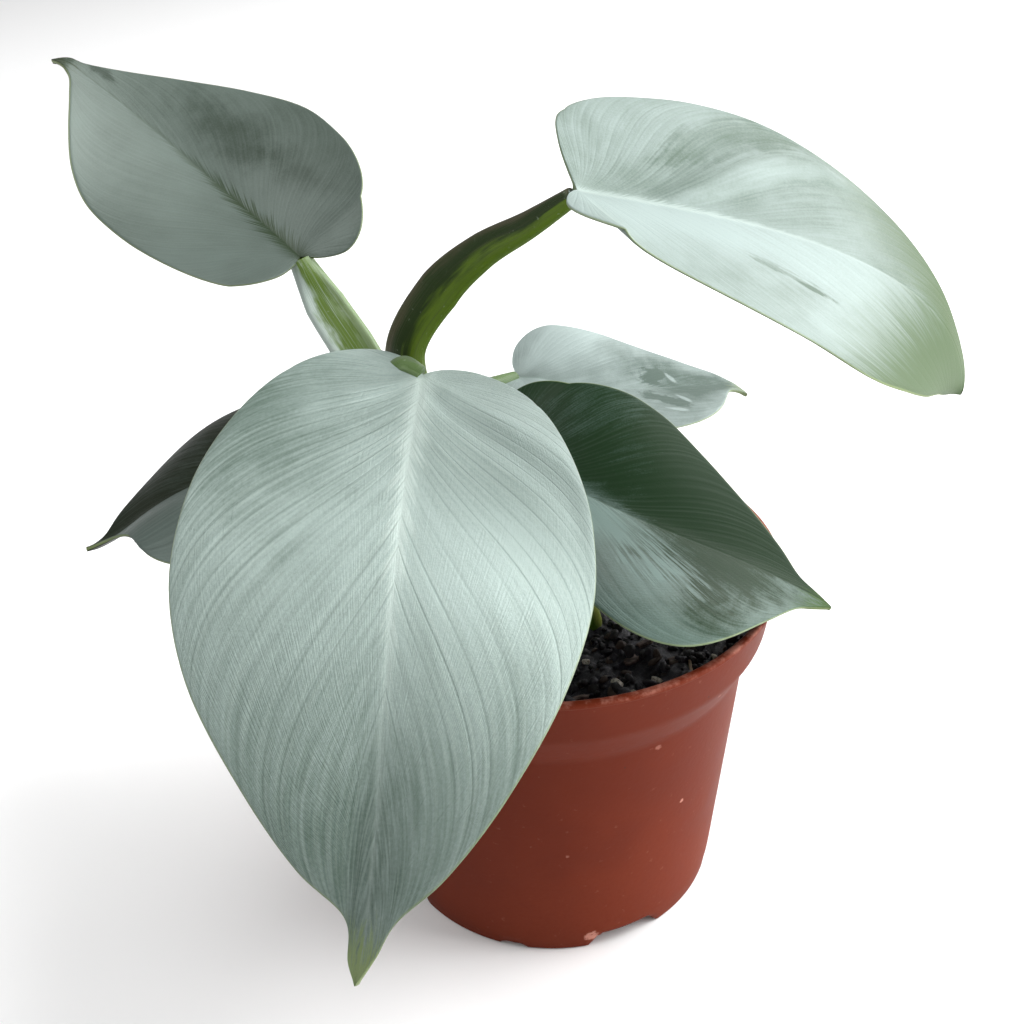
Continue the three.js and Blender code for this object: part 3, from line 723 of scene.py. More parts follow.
def make_crumbs(finish):
    """All crumbs in one mesh. Small ones are more common than large ones."""
    draw = np.random.default_rng(CRUMB_SEED)
    ball, ball_faces = lump(2)
    all_points, all_faces, shades = [], [], []
    reach = inside_pot(SOIL_TOP, CRUMB_GAP)
    while len(all_points) < CRUMBS:
        out = reach * math.sqrt(draw.uniform())
        a = draw.uniform(0, 2 * math.pi)
        x, y = out * math.cos(a), out * math.sin(a)
        size = CRUMB_SIZES[0] + (CRUMB_SIZES[1] - CRUMB_SIZES[0]) * draw.uniform() ** CRUMB_POWER
        size = min(size, reach + 1.0 - out) if out > reach - 1 else size
        if any(math.hypot(x - fx, y - fy) < fr + size for fx, fy, fr in (STEM_FOOT, SHOOT_FOOT)):
            continue
        shape = dented(ball, draw) * draw.uniform([0.9, 0.7, 0.5], [1.6, 1.2, 0.9])
        points = shape @ turned_any_way(draw).T * size
        points += [x, y, SOIL_TOP + float(crumble(x, y)) + size * draw.uniform(-0.25, 0.45)]
        all_faces.append(ball_faces + len(all_points) * len(ball))
        all_points.append(points)
        shades.append(np.full(len(ball), draw.uniform()))
    crumbs = make_piece("soil-crumbs", np.vstack(all_points), np.vstack(all_faces), [finish])
    shade = crumbs.data.attributes.new("shade", "FLOAT", "POINT")
    shade.data.foreach_set("value", np.concatenate(shades))
    return crumbs


print("a crumb starts as a lump of", len(lump(2)[1]), "faces")

# %% [markdown]
# ## The soil's finish
# Peat looks black because light is lost between the crumbs. A few crumbs are bits of bark
# or fibre, brown or greyish pink. The shade kept with each crumb picks its colour, from
# black over a painted bluish sheen and brown to pale, and a fine noise roughens all of them.
# A damp crumb still has a weak shine.

# %% Dark soil
PEAT_BLACK = (0.007, 0.006, 0.007)
PAINTED_BLUE_SHEEN = (0.022, 0.021, 0.030)
FIBRE_BROWN = (0.060, 0.040, 0.030)
FIBRE_PALE = (0.21, 0.155, 0.13)


def soil_finish(name, loose):
    """Dark soil. Loose crumbs take their shade from the mesh, packed soil from a noise."""
    f = Finish(name, roughness=0.6)
    place = f.place()
    shade = f.number("shade") if loose else f.noise(place, 300, detail=3)
    # the painted bluish sheen lies on the crumbs whose shade is high enough
    colour = f.mix(f.fade(shade, 0.2, 0.7), PEAT_BLACK, PAINTED_BLUE_SHEEN)
    colour = f.mix(f.fade(shade, 0.78, 0.86), colour, FIBRE_BROWN)
    colour = f.mix(f.fade(shade, 0.955, 0.975), colour, FIBRE_PALE)
    speck = f.noise(place, 1500, detail=3, roughness=0.7)
    speckled = f.times(f.fade(speck, 0.5, 0.75), 0.5)
    # packed soil gets specks of painted bluish sheen, loose crumbs brown specks
    colour = f.mix(speckled, colour, FIBRE_BROWN if loose else PAINTED_BLUE_SHEEN)
    rough = f.fade(speck, 0.3, 0.7, 0.42, 0.8)
    return f.done(Base_Color=colour, Roughness=rough, Normal=f.bump(speck, 0.0004, 0.8))


soil = soil_body(soil_finish("packed soil", loose=False))
crumbs = make_crumbs(soil_finish("loose soil", loose=True))
print("soil:", len(soil.data.polygons), "faces, crumbs:", len(crumbs.data.polygons), "faces")

# %% [markdown]
# ## Perlite, bark and a straw
# Perlite is puffed volcanic glass: white, rounded and full of dents. Bark chips are flat
# splinters. Each stands where its own solid stands, so the size and the place are read from
# that solid's box, and only the rough shape is new.

# %% Shapes of grains and chips
GRAIN_SEED = 100
CHIP_SEED = 200
# how far a chip reaches along its box's three sides before it is turned, as shares
CHIP_REACH = (0.5, 0.3, 0.42)


def box_in_mm(node):
    """Centre and size of a solid's box, in mm round the pot's axis."""
    low, high = (np.array(corner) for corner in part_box(node))
    return ((low + high) / 2 - POT_AXIS) / MM, (high - low) / MM


def make_grain(node, finish, seed):
    """A grain of perlite: a dented lump that fills its solid's box."""
    draw = np.random.default_rng(seed)
    points, faces = lump(3)
    centre, size = box_in_mm(node)
    shape = dented(points, draw, depth=0.12, dents=7)
    shape = shape @ turned_any_way(draw).T
    shape = shape / np.ptp(shape, axis=0) * size
    return make_piece(node + "-puffed", shape + centre, faces, [finish], [node])


def make_chip(node, finish, seed):
    """A splinter: a boxy lump with ridges, turned a little and kept within its solid's box."""
    draw = np.random.default_rng(seed)
    points, faces = lump(3)
    centre, size = box_in_mm(node)
    boxy = np.sign(points) * np.abs(points) ** 0.55
    ridges = 1 + 0.10 * np.sin(points[:, 1:2] * 9 + draw.uniform(0, 6))
    ridges = ridges + draw.uniform(-0.06, 0.06, (len(points), 1))
    turn = draw.uniform(-0.6, 0.9)
    c, s = math.cos(turn), math.sin(turn)
    shape = boxy * (np.array(CHIP_REACH) * size) * ridges
    shape = shape @ np.array([[c, -s, 0], [s, c, 0], [0, 0, 1]]).T
    shape *= np.minimum(1, size / np.ptp(shape, axis=0))
    return make_piece(node + "-splinter", shape + centre, faces, [finish], [node])


grains = sorted(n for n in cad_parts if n.startswith("perlite"))
chips = sorted(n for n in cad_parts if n.startswith("bark"))
print("solids to dress: perlite", len(grains), " bark", len(chips), " straw 1")

# %% Finishes of the small pieces, and the pieces themselves
PERLITE_PITS = (0.22, 0.18, 0.14)
PERLITE_WHITE = (0.62, 0.57, 0.50)
BARK_DARK = (0.045, 0.028, 0.022)
BARK_PALE = (0.20, 0.145, 0.125)
BARK_FIBRES = (300, 1500, 1200)
STRAW_DARK = (0.24, 0.15, 0.09)
STRAW_PALE = (0.42, 0.30, 0.20)


def perlite_finish():
    """White, with dirt in the pits."""
    f = Finish("puffed perlite", roughness=0.85)
    place = f.place()
    pits = f.noise(place, 1400, detail=4, roughness=0.65)
    colour = f.mix(f.fade(pits, 0.35, 0.6), PERLITE_PITS, PERLITE_WHITE)
    return f.done(Base_Color=colour, Normal=f.bump(pits, 0.0006, 0.9))


def bark_finish():
    """Brown, with fibres drawn out along the chip."""
    f = Finish("split bark", roughness=0.75)
    fibres = f.node("VectorMath", 0, {"operation": "MULTIPLY"}, i0=f.place(), i1=BARK_FIBRES)
    fibre = f.noise(fibres, 1.0, detail=4)
    colour = f.mix(f.fade(fibre, 0.3, 0.7), BARK_DARK, BARK_PALE)
    return f.done(Base_Color=colour, Normal=f.bump(fibre, 0.0004, 0.9))


def straw_finish():
    """Dull yellow brown."""
    f = Finish("dry straw", roughness=0.6)
    fibre = f.noise(f.place(), 900, detail=3)
    colour = f.mix(fibre, STRAW_DARK, STRAW_PALE)
    return f.done(Base_Color=colour, Normal=f.bump(fibre, 0.0002, 0.6))


white, brown = perlite_finish(), bark_finish()
for seed, node in enumerate(grains):
    make_grain(node, white, GRAIN_SEED + seed)
for seed, node in enumerate(chips):
    make_chip(node, brown, CHIP_SEED + seed)
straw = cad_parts["straw"].data
straw.materials.clear()
straw.materials.append(straw_finish())
print("dressed:", len(grains) + len(chips) + 1, "small pieces")

# %% [markdown]
# ## Stem, shoot and leaf stalks
# These are limbs: a curved route through a few stations, each with a half width and a half
# depth. The route is the same smooth curve that the solids follow. Round the limb the
# shape is not quite an ellipse: a leaf stalk has a shallow channel on the side that faced
# the bud, with a raised edge on either hand, and the stem swells in a ring at each joint.
# The angle round the limb is kept with the points, so that the finish can colour the
# sheltered side and the lit side differently.

# %% Limb helpers
LIMB_SIDES = 48
NUDGE = 1e-3


def knot_curve(points, t):
    """A centripetal Catmull-Rom curve through the points, at t from 0 to 1."""
    last = len(points) - 1
    place = np.clip(t, 0, 1) * last
    i = np.minimum(place.astype(int), last - 1)
    w = (place - i)[:, None]
    ends = np.vstack([2 * points[0] - points[1], points, 2 * points[-1] - points[-2]])
    p0, p1, p2, p3 = ends[i], ends[i + 1], ends[i + 2], ends[i + 3]
    spans = ((p0, p1), (p1, p2), (p2, p3))
    d0, d1, d2 = (np.sqrt(np.linalg.norm(b - a, axis=1, keepdims=True)) for a, b in spans)
    m1 = ((p1 - p0) / d0 - (p2 - p0) / (d0 + d1) + (p2 - p1) / d1) * d1
    m2 = ((p2 - p1) / d1 - (p3 - p1) / (d1 + d2) + (p3 - p2) / d2) * d1
    square, cube = 3 * (p2 - p1) - 2 * m1 - m2, 2 * (p1 - p2) + m1 + m2
    return p1 + m1 * w + square * w ** 2 + cube * w ** 3


def limb_points(stations, face, steps, shape):
    """Rings of points round the route. shape(angle, share) gives the reach out and up."""
    stations = np.array([[*s, s[3]] if len(s) == 4 else s for s in stations], float)
    share = np.linspace(0, 1, steps)
    centre = knot_curve(stations[:, :3], share)
    ahead = knot_curve(stations[:, :3], np.minimum(share + NUDGE, 1))
    behind = knot_curve(stations[:, :3], np.maximum(share - NUDGE, 0))
    forward = unit(ahead - behind)
    side = unit(np.cross(forward, face))
    front = np.cross(side, forward)
    number = np.arange(len(stations))
    at = share * (len(stations) - 1)
    width, depth = (np.interp(at, number, stations[:, column]) for column in (3, 4))
    angle = np.linspace(0, 2 * math.pi, LIMB_SIDES, endpoint=False)
    reach_out, reach_up = shape(angle[None, :], share[:, None])
    out = width[:, None] * np.cos(angle) * reach_out
    up = depth[:, None] * np.sin(angle) * reach_up
    rings = centre[:, None] + out[..., None] * side[:, None] + up[..., None] * front[:, None]
    return rings, angle, share, centre


def make_limb(name, stations, face, finish, replaced, steps, shape):
    """A closed limb. Where each point lies round it and along it is kept as "around"."""
    rings, angle, share, centre = limb_points(stations, face, steps, shape)
    grid = np.vstack([rings.reshape(-1, 3), centre[:1], centre[-1:]])
    faces = row_faces(steps, LIMB_SIDES, closed=True)[:, ::-1].tolist()
    first, last = steps * LIMB_SIDES, steps * LIMB_SIDES + 1
    end_ring = first - LIMB_SIDES
    for i in range(LIMB_SIDES):
        j = (i + 1) % LIMB_SIDES
        faces += [[first, i, j], [last, end_ring + j, end_ring + i]]
    limb = make_piece(name, grid, faces, [finish], replaced)
    turn = np.broadcast_arrays(np.cos(angle)[None], np.sin(angle)[None], share[:, None])
    turn = np.vstack([np.stack(turn, -1).reshape(-1, 3), [[0, 0, 0], [0, 0, 1]]])
    around = limb.data.attributes.new("around", "FLOAT_VECTOR", "POINT")
    around.data.foreach_set("vector", turn.ravel())
    return limb


def bell(value, middle, width):
    """1 at the middle, falling softly to 0 on both sides of it."""
    return np.exp(-((value - middle) / width) ** 2)


print("sides of a limb:", LIMB_SIDES)

# %% [markdown]
# ### How the limbs are coloured
# A stalk is dark green where the silver skin is worn off or wet, grey where the skin is
# whole, and yellow green at its edge. On some stalks one side is painted darker where shade
# falls, and the edge is painted yellow green where light comes through it. Fine lines run
# along it. The finish mixes three colours by the angle round the limb: the left side, the
# front and the right side.

# %% Stalk and stem finish
LIMB_ROUGHNESS = 0.38
FRONT_REACH = 0.45
LINE_STRENGTH = 0.5
SKIN_SPECK = (0.30, 0.36, 0.27)


def limb_finish(name, left, front, right):
    """Three colours round a limb, with fine lines along it and pale specks."""
    f = Finish(name, roughness=LIMB_ROUGHNESS)
    place = f.place()
    around = f.split(f.node("Attribute", "Vector", {"attribute_name": "around"}))
    wander = f.noise(f.vector(f.times(around[2], 3.0), around[0], around[1]), 2.2, detail=3)
    lean = f.plus(around[0], f.sway(wander, 0.22))
    # each side keeps its colour, so light and shade painted into a side stay on it
    colour = f.mix(f.fade(lean, -FRONT_REACH - 0.25, -FRONT_REACH + 0.25), left, front)
    colour = f.mix(f.fade(lean, FRONT_REACH - 0.2, FRONT_REACH + 0.25), colour, right)
    line_space = f.vector(f.times(around[0], 9.0), f.times(around[1], 9.0), around[2])
    lines = f.noise(line_space, 2.0, detail=5, roughness=0.6)
    colour = f.mix(f.times(f.fade(lines, 0.5, 0.72), LINE_STRENGTH), colour, left)
    specks = f.fade(f.noise(place, 900, detail=3), 0.66, 0.74)
    colour = f.mix(f.times(specks, 0.3), colour, SKIN_SPECK)
    return f.done(Base_Color=colour, Normal=f.bump(lines, 0.0006, 0.35), Specular_IOR_Level=0.25)


print("the front colour reaches", FRONT_REACH, "of a limb's half width to either side")

# %% [markdown]
# ## The stem
# The main stem is short and thick. Leaf stalks leave it one above another, and each leaves
# a ring where it joins. It stands in the soil, and the leaves hide nearly all of it, so its
# joints are placed where the stalks start.

# %% Build the stem and the young shoot
# stations: x, y, z and radius in mm; joints: places along the stem, from 0 to 1
STEM = [
    [-17, -7, 48, 1.2], [-17.3, -7, 51, 4.4], [-18, -6.6, 66, 5.2], [-19, -6, 84, 5.4],
    [-21.5, -5.2, 97, 4.8], [-22.3, -5, 101, 5.4], [-23.6, -4.6, 107, 4.7],
    [-24.8, -4.2, 112, 5.2], [-26.6, -3.4, 119, 4.6], [-28, -2.6, 124, 4.4],
    [-28.6, -2.2, 126.5, 1.6],
]
SHOOT = [
    [11, -12.4, 76, 1.4], [11, -12.5, 79, 2.6], [10.8, -12.6, 85, 2.9],
    [9.4, -12.4, 91, 2.4], [7.2, -12, 96, 1.3], [6, -11.8, 98.5, 0.5],
]
STEM_JOINTS = [0.5, 0.7, 0.86]
STEM_GREEN = (0.045, 0.075, 0.022)
STEM_GREY = (0.10, 0.12, 0.085)
STEM_BROWN = (0.085, 0.060, 0.030)
SHOOT_GREEN = (0.10, 0.20, 0.018)
SHOOT_YELLOW = (0.30, 0.36, 0.07)
TO_THE_VIEWER = [0, -1, 0]


def jointed(angle, share):
    """A stem: rings at its joints and faint ribs along it."""
    swell = sum(0.05 * bell(share, joint, 0.012) - 0.03 * bell(share, joint + 0.03, 0.01)
                for joint in STEM_JOINTS)
    ribs = 0.012 * np.sin(9 * angle + 3 * share) + 0.008 * np.sin(17 * angle)
    return 1 + swell + ribs, 1 + swell + ribs


def sheathed(angle, share):
    """A young shoot: one edge of its sheath wraps over the other."""
    wrap = ((angle + 2.2 * share) % (2 * math.pi)) / (2 * math.pi)
    edge = 0.16 * smooth(wrap, 0.75, 0.98) * (1 - smooth(wrap, 0.98, 1.0))
    return 1 + edge, 1 + edge


stem_skin = limb_finish("stem skin", STEM_BROWN, STEM_GREEN, STEM_GREY)
stem = make_limb("stem-jointed", STEM, TO_THE_VIEWER, stem_skin, ["stem"],
                 steps=150, shape=jointed)
shoot_skin = limb_finish("young shoot", SHOOT_GREEN, SHOOT_GREEN, SHOOT_YELLOW)
shoot = make_limb("shoot-sheath", SHOOT, TO_THE_VIEWER, shoot_skin, ["shoot"],
                  steps=80, shape=sheathed)
print("stem and shoot:", len(stem.data.polygons) + len(shoot.data.polygons), "faces")

# %% [markdown]
# ## The leaf stalks
# Each stalk carries one blade and shows a side of its own. The high left stalk is opened
# like a canoe, with a silver wing on the left, painted lighter where light falls on it, and
# a pale edge on the right. The high right stalk, seen from its side, is grey brown, then a
# painted shadow band of nearly black green, then bright yellow green painted where light
# comes through its edge. The stations below are those of the solids.

# %% Stations of the stalks
# stations: x, y, z, half width and half depth in mm; face: the way its front looks;
# colours: left side, front and right side, and the three low stalks look alike;
# channel: how much of the depth is hollowed out
LOW_STALK = [(0.10, 0.15, 0.07), (0.08, 0.14, 0.04), (0.10, 0.15, 0.07)]
STALKS = {
    "high-right": {
        "face": [-0.4, -0.7, 0.6],
        "stations": [[-28.7, -2, 127, 4.2, 4], [-30.8, 0, 141, 4.8, 4.4], [-32, 1, 156, 5, 4.4],
                     [-23.2, 2.5, 170, 5.6, 4.2], [-13.4, -1, 180, 4.4, 3.6], [-2, -9.8, 189.6, 3.1, 2.9],
                     [7.4, -16.3, 197.9, 2.1, 2.1]],
        # grey brown, a painted shadow band, and painted light through the edge
        "colours": [(0.050, 0.048, 0.022), (0.012, 0.028, 0.002), (0.085, 0.145, 0.005)],
        "channel": 0.16,
    },
    "high-left": {
        "face": [0.1, -0.8, 0.5],
        "stations": [[-28.5, -1, 118, 3.4, 3.2], [-37, 8, 136, 4.8, 3], [-46.6, 15.5, 150, 5.6, 2.8],
                     [-53.6, 23.5, 158, 5.2, 2.7], [-59.4, 29.4, 167.2, 3, 2.4]],
        # a silver wing painted lighter where light falls, a green front, a pale edge
        "colours": [(0.35, 0.42, 0.38), (0.09, 0.15, 0.02), (0.18, 0.25, 0.12)],
        "channel": 0.62,
    },
    "front": {
        "face": [0.2, -0.7, 0.7],
        "stations": [[-29, -5, 122, 3.2, 3], [-36.5, -7, 140, 3, 2.8], [-35.5, -8, 152, 2.6, 2.4],
                     [-31.5, -10, 156.8, 2.2, 2.1], [-27.6, -12, 155.4, 1.9, 1.8]],
        "colours": [(0.12, 0.17, 0.09), (0.10, 0.17, 0.05), (0.16, 0.24, 0.10)],
        "channel": 0.2,
    },
    "small": {
        "face": [0, 0, 1],
        "stations": [[-24.5, -3, 113, 2.9, 2.7], [-25, 22, 118, 2.7, 2.4], [-19.5, 48, 120, 2.5, 2.2],
                     [-7.9, 62.2, 117, 2, 1.8]],
        "colours": LOW_STALK,
        "channel": 0.3,
    },
    "right": {
        "face": [0, 0, 1],
        "stations": [[-22, -4, 102, 3.1, 2.9], [-21, 7, 107, 2.9, 2.5], [-17.5, 16, 114, 2.7, 2.3],
                     [-10.8, 18.6, 118.1, 2.2, 1.9]],
        "colours": LOW_STALK,
        "channel": 0.3,
    },
    "left": {
        "face": [0, 0, 1],
        "stations": [[-23.6, -4, 107, 3.1, 2.9], [-32, 10, 110, 2.9, 2.5], [-40.5, 24, 113.5, 2.7, 2.3],
                     [-48.2, 30.3, 113.3, 2.2, 1.9]],
        "colours": LOW_STALK,
        "channel": 0.3,
    },
}


def channelled(depth):
    """A stalk with a channel on its front, deepest at mid length, and ribs along its back."""
    def shape(angle, share):
        facing = np.sin(angle)
        open_part = smooth(share, 0.04, 0.25) * (1 - smooth(share, 0.78, 0.96))
        hollow = depth * open_part * smooth(facing, 0.45, 1.0)
        ribs = 0.012 * np.sin(15 * angle) * (facing < 0.4)
        return 1 + ribs, 1 - hollow + ribs
    return shape


stalks = {}
for leaf, stalk in STALKS.items():
    finish = limb_finish(leaf + " stalk", *stalk["colours"])
    stalks[leaf] = make_limb(
        "stalk-" + leaf, stalk["stations"], stalk["face"], finish, ["petiole-" + leaf],
        steps=140, shape=channelled(stalk["channel"]))
print("stalks:", len(stalks))

# %% [markdown]
# ## The leaf blades
# A blade starts as a flat outline, half on either side of the midrib. It is folded along
# the midrib, each half is curled, its base bends back at the nape, and the midrib itself
# follows a curve in space. Lines from the midrib to the margin are the side veins: they
# leave at a slant and run on almost along the leaf. The mesh rows follow them, so that a
# sunken vein is a real groove in the surface.

# %% Outline and forms of the six blades
# the edge of one half from the nape to the tip: across and along, as shares of the length
OUTLINE = np.array([
    [0, 0], [0.05, -0.07], [0.13, -0.11], [0.215, -0.085], [0.28, -0.01], [0.325, 0.1],
    [0.35, 0.24], [0.35, 0.36], [0.325, 0.5], [0.262, 0.64], [0.178, 0.765], [0.098, 0.86],
    [0.041, 0.918], [0.018, 0.962], [0, 1],
])
LOBE_ROWS = 5 / 14
CURL_WIDTH = 0.35
NAPE_LENGTH = 0.12
NARROWEST = 0.35
TAPER_FROM = 0.3
LOBE_BEND = 0.03
LOBE_WIDTH = 0.2
HOOK_FROM = 0.955
NOTCH_ROWS = 0.06
NOTCH_TURN = math.radians(4)
# midrib: the four corners of its curve; crease: width in mm over which the fold is rounded;
# roll and fold: degrees at the base and at the tip; curl, width, lobe, belly, taper and
# reshape: left and right half, where reshape moves single points of the outline;
# nape: degrees that the lobes bend back; wave: height in mm and number of waves;
# hook: how far the very tip is moved sideways, up and ahead, in mm
LEAVES = {
    "high-right": {
        "midrib": [[8.4, -17, 199.5], [29.5, -10, 191.2], [94.7, -17, 186.2], [94.6, -18.4, 149.5]],
        "crease": 2.5,
        "roll": [-14.5, -15], "fold": [12.5, -9.5], "curl": [5, -10], "nape": 38, "wave": [-0.2, 1.5],
        "width": [1.04, 1.11], "lobe": [0.12, 0.47], "belly": [-0.2, 0.2], "taper": [0.56, 0.6],
        "reshape": [
            {1: [0.06, -0.07], 2: [0.15, -0.118], 3: [0.236, -0.098], 4: [0.283, -0.011],
             5: [0.333, 0.103]},
            {9: [0.232, 0.665], 10: [0.155, 0.795], 11: [0.085, 0.895], 12: [0.045, 0.955],
             13: [0.02, 0.985]},
        ],
        "hook": [0, 0, 0],
    },
    "high-left": {
        "midrib": [[-59.6, 29.8, 168.2], [-78.3, 50.8, 174.4], [-104.6, 65.5, 196.2], [-122.3, 65, 210.1]],
        "crease": 3,
        "roll": [17.7, 13.5], "fold": [19, 15], "curl": [21, 11], "nape": 32.7, "wave": [-0.3, 1.5],
        "width": [1.03, 1.07], "lobe": [0.37, 0.8], "belly": [0.12, -0.2], "taper": [0.6, 0.52],
        "reshape": [
            {},
            {9: [0.245, 0.646], 10: [0.156, 0.772], 11: [0.079, 0.876], 12: [0.03, 0.95],
             13: [0.016, 0.985]},
        ],
        "hook": [2, -3.5, 1],
    },
    "front": {
        "midrib": [[-27.2, -12.1, 155.1], [-33.2, -82, 140], [-34.3, -103.2, 88.6], [-41, -109.3, 64.2]],
        "crease": 2,
        "roll": [10.5, 1.8], "fold": [2, 14.7], "curl": [32, 27.7], "nape": 38.8, "wave": [1, 1.55],
        "width": [0.83, 0.94], "lobe": [0.29, 0.59], "belly": [-0.2, -0.17], "taper": [0.6, 0.6],
        "reshape": [
            {11: [0.103, 0.855], 12: [0.043, 0.912], 13: [0.021, 0.958]},
            {10: [0.166, 0.773], 11: [0.087, 0.87], 12: [0.027, 0.921], 13: [0.016, 0.978]},
        ],
        "hook": [0, 0, 0],
    },
    "small": {
        "midrib": [[-7.1, 62.7, 116.9], [26.5, 43.7, 115.5], [43.9, 63, 114.2], [56.4, 59.5, 111.8]],
        "crease": 3.5,
        "roll": [-12.2, -3.5], "fold": [22, 17.7], "curl": [26, 20], "nape": 29.9, "wave": [0, 1.5],
        "width": [1.02, 1], "lobe": [0.69, 1], "belly": [0.2, 0.2], "taper": [-0.5, 0.6],
        "reshape": [{11: [0.118, 0.86], 12: [0.062, 0.925], 13: [0.03, 0.965]}, {}],
        "hook": [0, -1.5, 2.5],
    },
    "right": {
        "midrib": [[-10.3, 18.1, 118.3], [13.5, -8.9, 108.9], [46.9, -9.5, 103.2], [68.2, -24.2, 93.8]],
        "crease": 5,
        "roll": [-7.7, 1.6], "fold": [30.8, 19.6], "curl": [12.2, 24], "nape": 24.2, "wave": [-0.1, 1.5],
        "width": [1, 1.01], "lobe": [0.93, 0.2], "belly": [-0.2, 0.08], "taper": [0.28, 2.3],
        "reshape": [{}, {}], "hook": [0, 0, 0],
    },
    "left": {
        "midrib": [[-48.9, 30.6, 113.3], [-104, 3, 121.6], [-105.3, 12.2, 97.5], [-116.7, -4.2, 104]],
        "crease": 2,
        "roll": [18, -27], "fold": [10.6, 25], "curl": [55, 30], "nape": 40, "wave": [-0.3, 1.5],
        "width": [1.25, 1.2], "lobe": [1, 1], "belly": [0.2, -0.2], "taper": [0.6, 0.37],
        "reshape": [{}, {}], "hook": [0, 0, 0],
    },
}
print("blades:", ", ".join(LEAVES))

# %% [markdown]
# ### From the flat outline to the curved surface
# Distances along the midrib are measured on the curve, so the curve is sampled finely and
# its length summed. Every point of the blade is then given by two lengths, across and
# along, and the functions below bend that flat point into space.

# %% The midrib as a curve
CURVE_SAMPLES = 2000


def mixed(pair, share):
    """From the first value at share 0 to the second at share 1."""
    return pair[0] + (pair[1] - pair[0]) * share


class Midrib:
    """A cubic curve that can be asked for its point and direction at a length along it."""

    def __init__(self, corners):
        self.corners = np.array(corners, float)
        t = np.linspace(0, 1, CURVE_SAMPLES)
        steps = np.linalg.norm(np.diff(self.at(t), axis=0), axis=1)
        self.t, self.run = t, np.concatenate([[0], np.cumsum(steps)])
        self.length = self.run[-1]

    def at(self, t):
        t = np.asarray(t)[..., None]
        a, b, c, d = self.corners
        return (1 - t) ** 3 * a + 3 * (1 - t) ** 2 * t * b + 3 * (1 - t) * t ** 2 * c + t ** 3 * d

    def frame(self, along):
        """Centre and direction at a length along the midrib."""
        t = np.interp(np.clip(along, 0, self.length), self.run, self.t)
        a, b, c, d = self.corners
        s = t[..., None]
        slope = 3 * (1 - s) ** 2 * (b - a) + 6 * (1 - s) * s * (c - b) + 3 * s ** 2 * (d - c)
        return self.at(t), unit(slope)


for name, leaf in LEAVES.items():
    print(name, "midrib:", round(Midrib(leaf["midrib"]).length, 1), "mm along its curve")

# %% Blade surface and margin
# the crease along the midrib grows over this share of the length
CREASE_GROWTH = 0.12
# keeps the crease from being exactly 0, by which the reach is divided
TINY = 1e-3
# the left half's waves are shifted, in radians
LEFT_WAVE_SHIFT = 0.9


def blade_surface(leaf, midrib, across, along):
    """Points in mm for flat places on a blade, given in mm across and along the midrib."""
    length = midrib.length
    share = np.clip(along / length, 0, 1)
    centre, forward = midrib.frame(along)
    side = unit(np.cross(forward, [0, 0, 1]))
    roll = np.radians(mixed(leaf["roll"], share))[..., None]
    side = np.cos(roll) * side + np.sin(roll) * np.cross(side, forward)
    up = np.cross(side, forward)
    hook = (np.clip((share - HOOK_FROM) / (1 - HOOK_FROM), 0, 1) ** 2)[..., None]
    centre = centre + hook * (side * leaf["hook"][0] + up * leaf["hook"][1] + forward * leaf["hook"][2])
    nape = math.radians(leaf["nape"]) / (NAPE_LENGTH * length)
    back = (np.maximum(-along, 0) * nape)[..., None]
    centre = centre - forward * np.sin(back) / nape - up * (1 - np.cos(back)) / nape
    forward = forward * np.cos(back) + up * np.sin(back)
    up = np.cross(side, forward)
    right = across > 0
    reach = np.abs(across)
    fold = np.radians(mixed(leaf["fold"], share))
    bend = np.radians(np.where(right, leaf["curl"][1], leaf["curl"][0])) / (CURL_WIDTH * length)
    out = (np.sin(fold) - np.sin(fold - bend * reach)) / bend
    lift = (np.cos(fold - bend * reach) - np.cos(fold)) / bend
    height, waves = leaf["wave"]
    ripple = np.sin(2 * math.pi * waves * along / length + np.where(right, 0, LEFT_WAVE_SHIFT))
    lift = lift + height * (reach / (CURL_WIDTH * length)) ** 2 * ripple
    crease = leaf["crease"] * smooth(share, 0, CREASE_GROWTH) + TINY
    lift = lift + np.sin(fold) * crease * np.exp(-reach / crease)
    return centre + side * (np.sign(across) * out)[..., None] + up * lift[..., None]


def smooth_line(points, t):
    """A uniform Catmull-Rom curve through points, at t from 0 to 1."""
    last = len(points) - 1
    place = np.clip(t, 0, 1) * last
    i = np.minimum(place.astype(int), last - 1)
    w = (place - i)[:, None]
    ends = np.vstack([points[:1], points, points[-1:]])
    p0, p1, p2, p3 = ends[i], ends[i + 1], ends[i + 2], ends[i + 3]
    v0, v1 = (p2 - p0) / 2, (p3 - p1) / 2
    cube, square = 2 * p1 - 2 * p2 + v0 + v1, -3 * p1 + 3 * p2 - 2 * v0 - v1
    return cube * w ** 3 + square * w ** 2 + v0 * w + p1


def margin(leaf, length, rows, right):
    """The edge of one half, in mm across and along, at each row."""
    points = OUTLINE.copy()
    for place, point in leaf["reshape"][right].items():
        points[place] = point
    x, y = smooth_line(points, rows).T
    inner = np.clip(y, 0, 1)
    lobe = leaf["lobe"][right]
    bend = LOBE_BEND * np.clip(x / LOBE_WIDTH, 0, 1)
    along = lobe * y + (1 - lobe) * (y + np.sqrt(y ** 2 + bend ** 2)) / 2
    along = along + leaf["belly"][right] * inner * (1 - inner) * 2
    taper = np.maximum(NARROWEST, 1 + leaf["taper"][right] * (y - TAPER_FROM))
    across = x * taper * leaf["width"][right]
    reach, angle = np.hypot(across, along), np.arctan2(along, across)
    start = np.interp(NOTCH_ROWS, rows, angle)
    angle = np.where(rows < NOTCH_ROWS, start - NOTCH_TURN * (1 - rows / NOTCH_ROWS), angle)
    side = 1 if right else -1
    return side * reach * np.cos(angle) * length, reach * np.sin(angle) * length


print("points on the outline of a half:", len(OUTLINE))

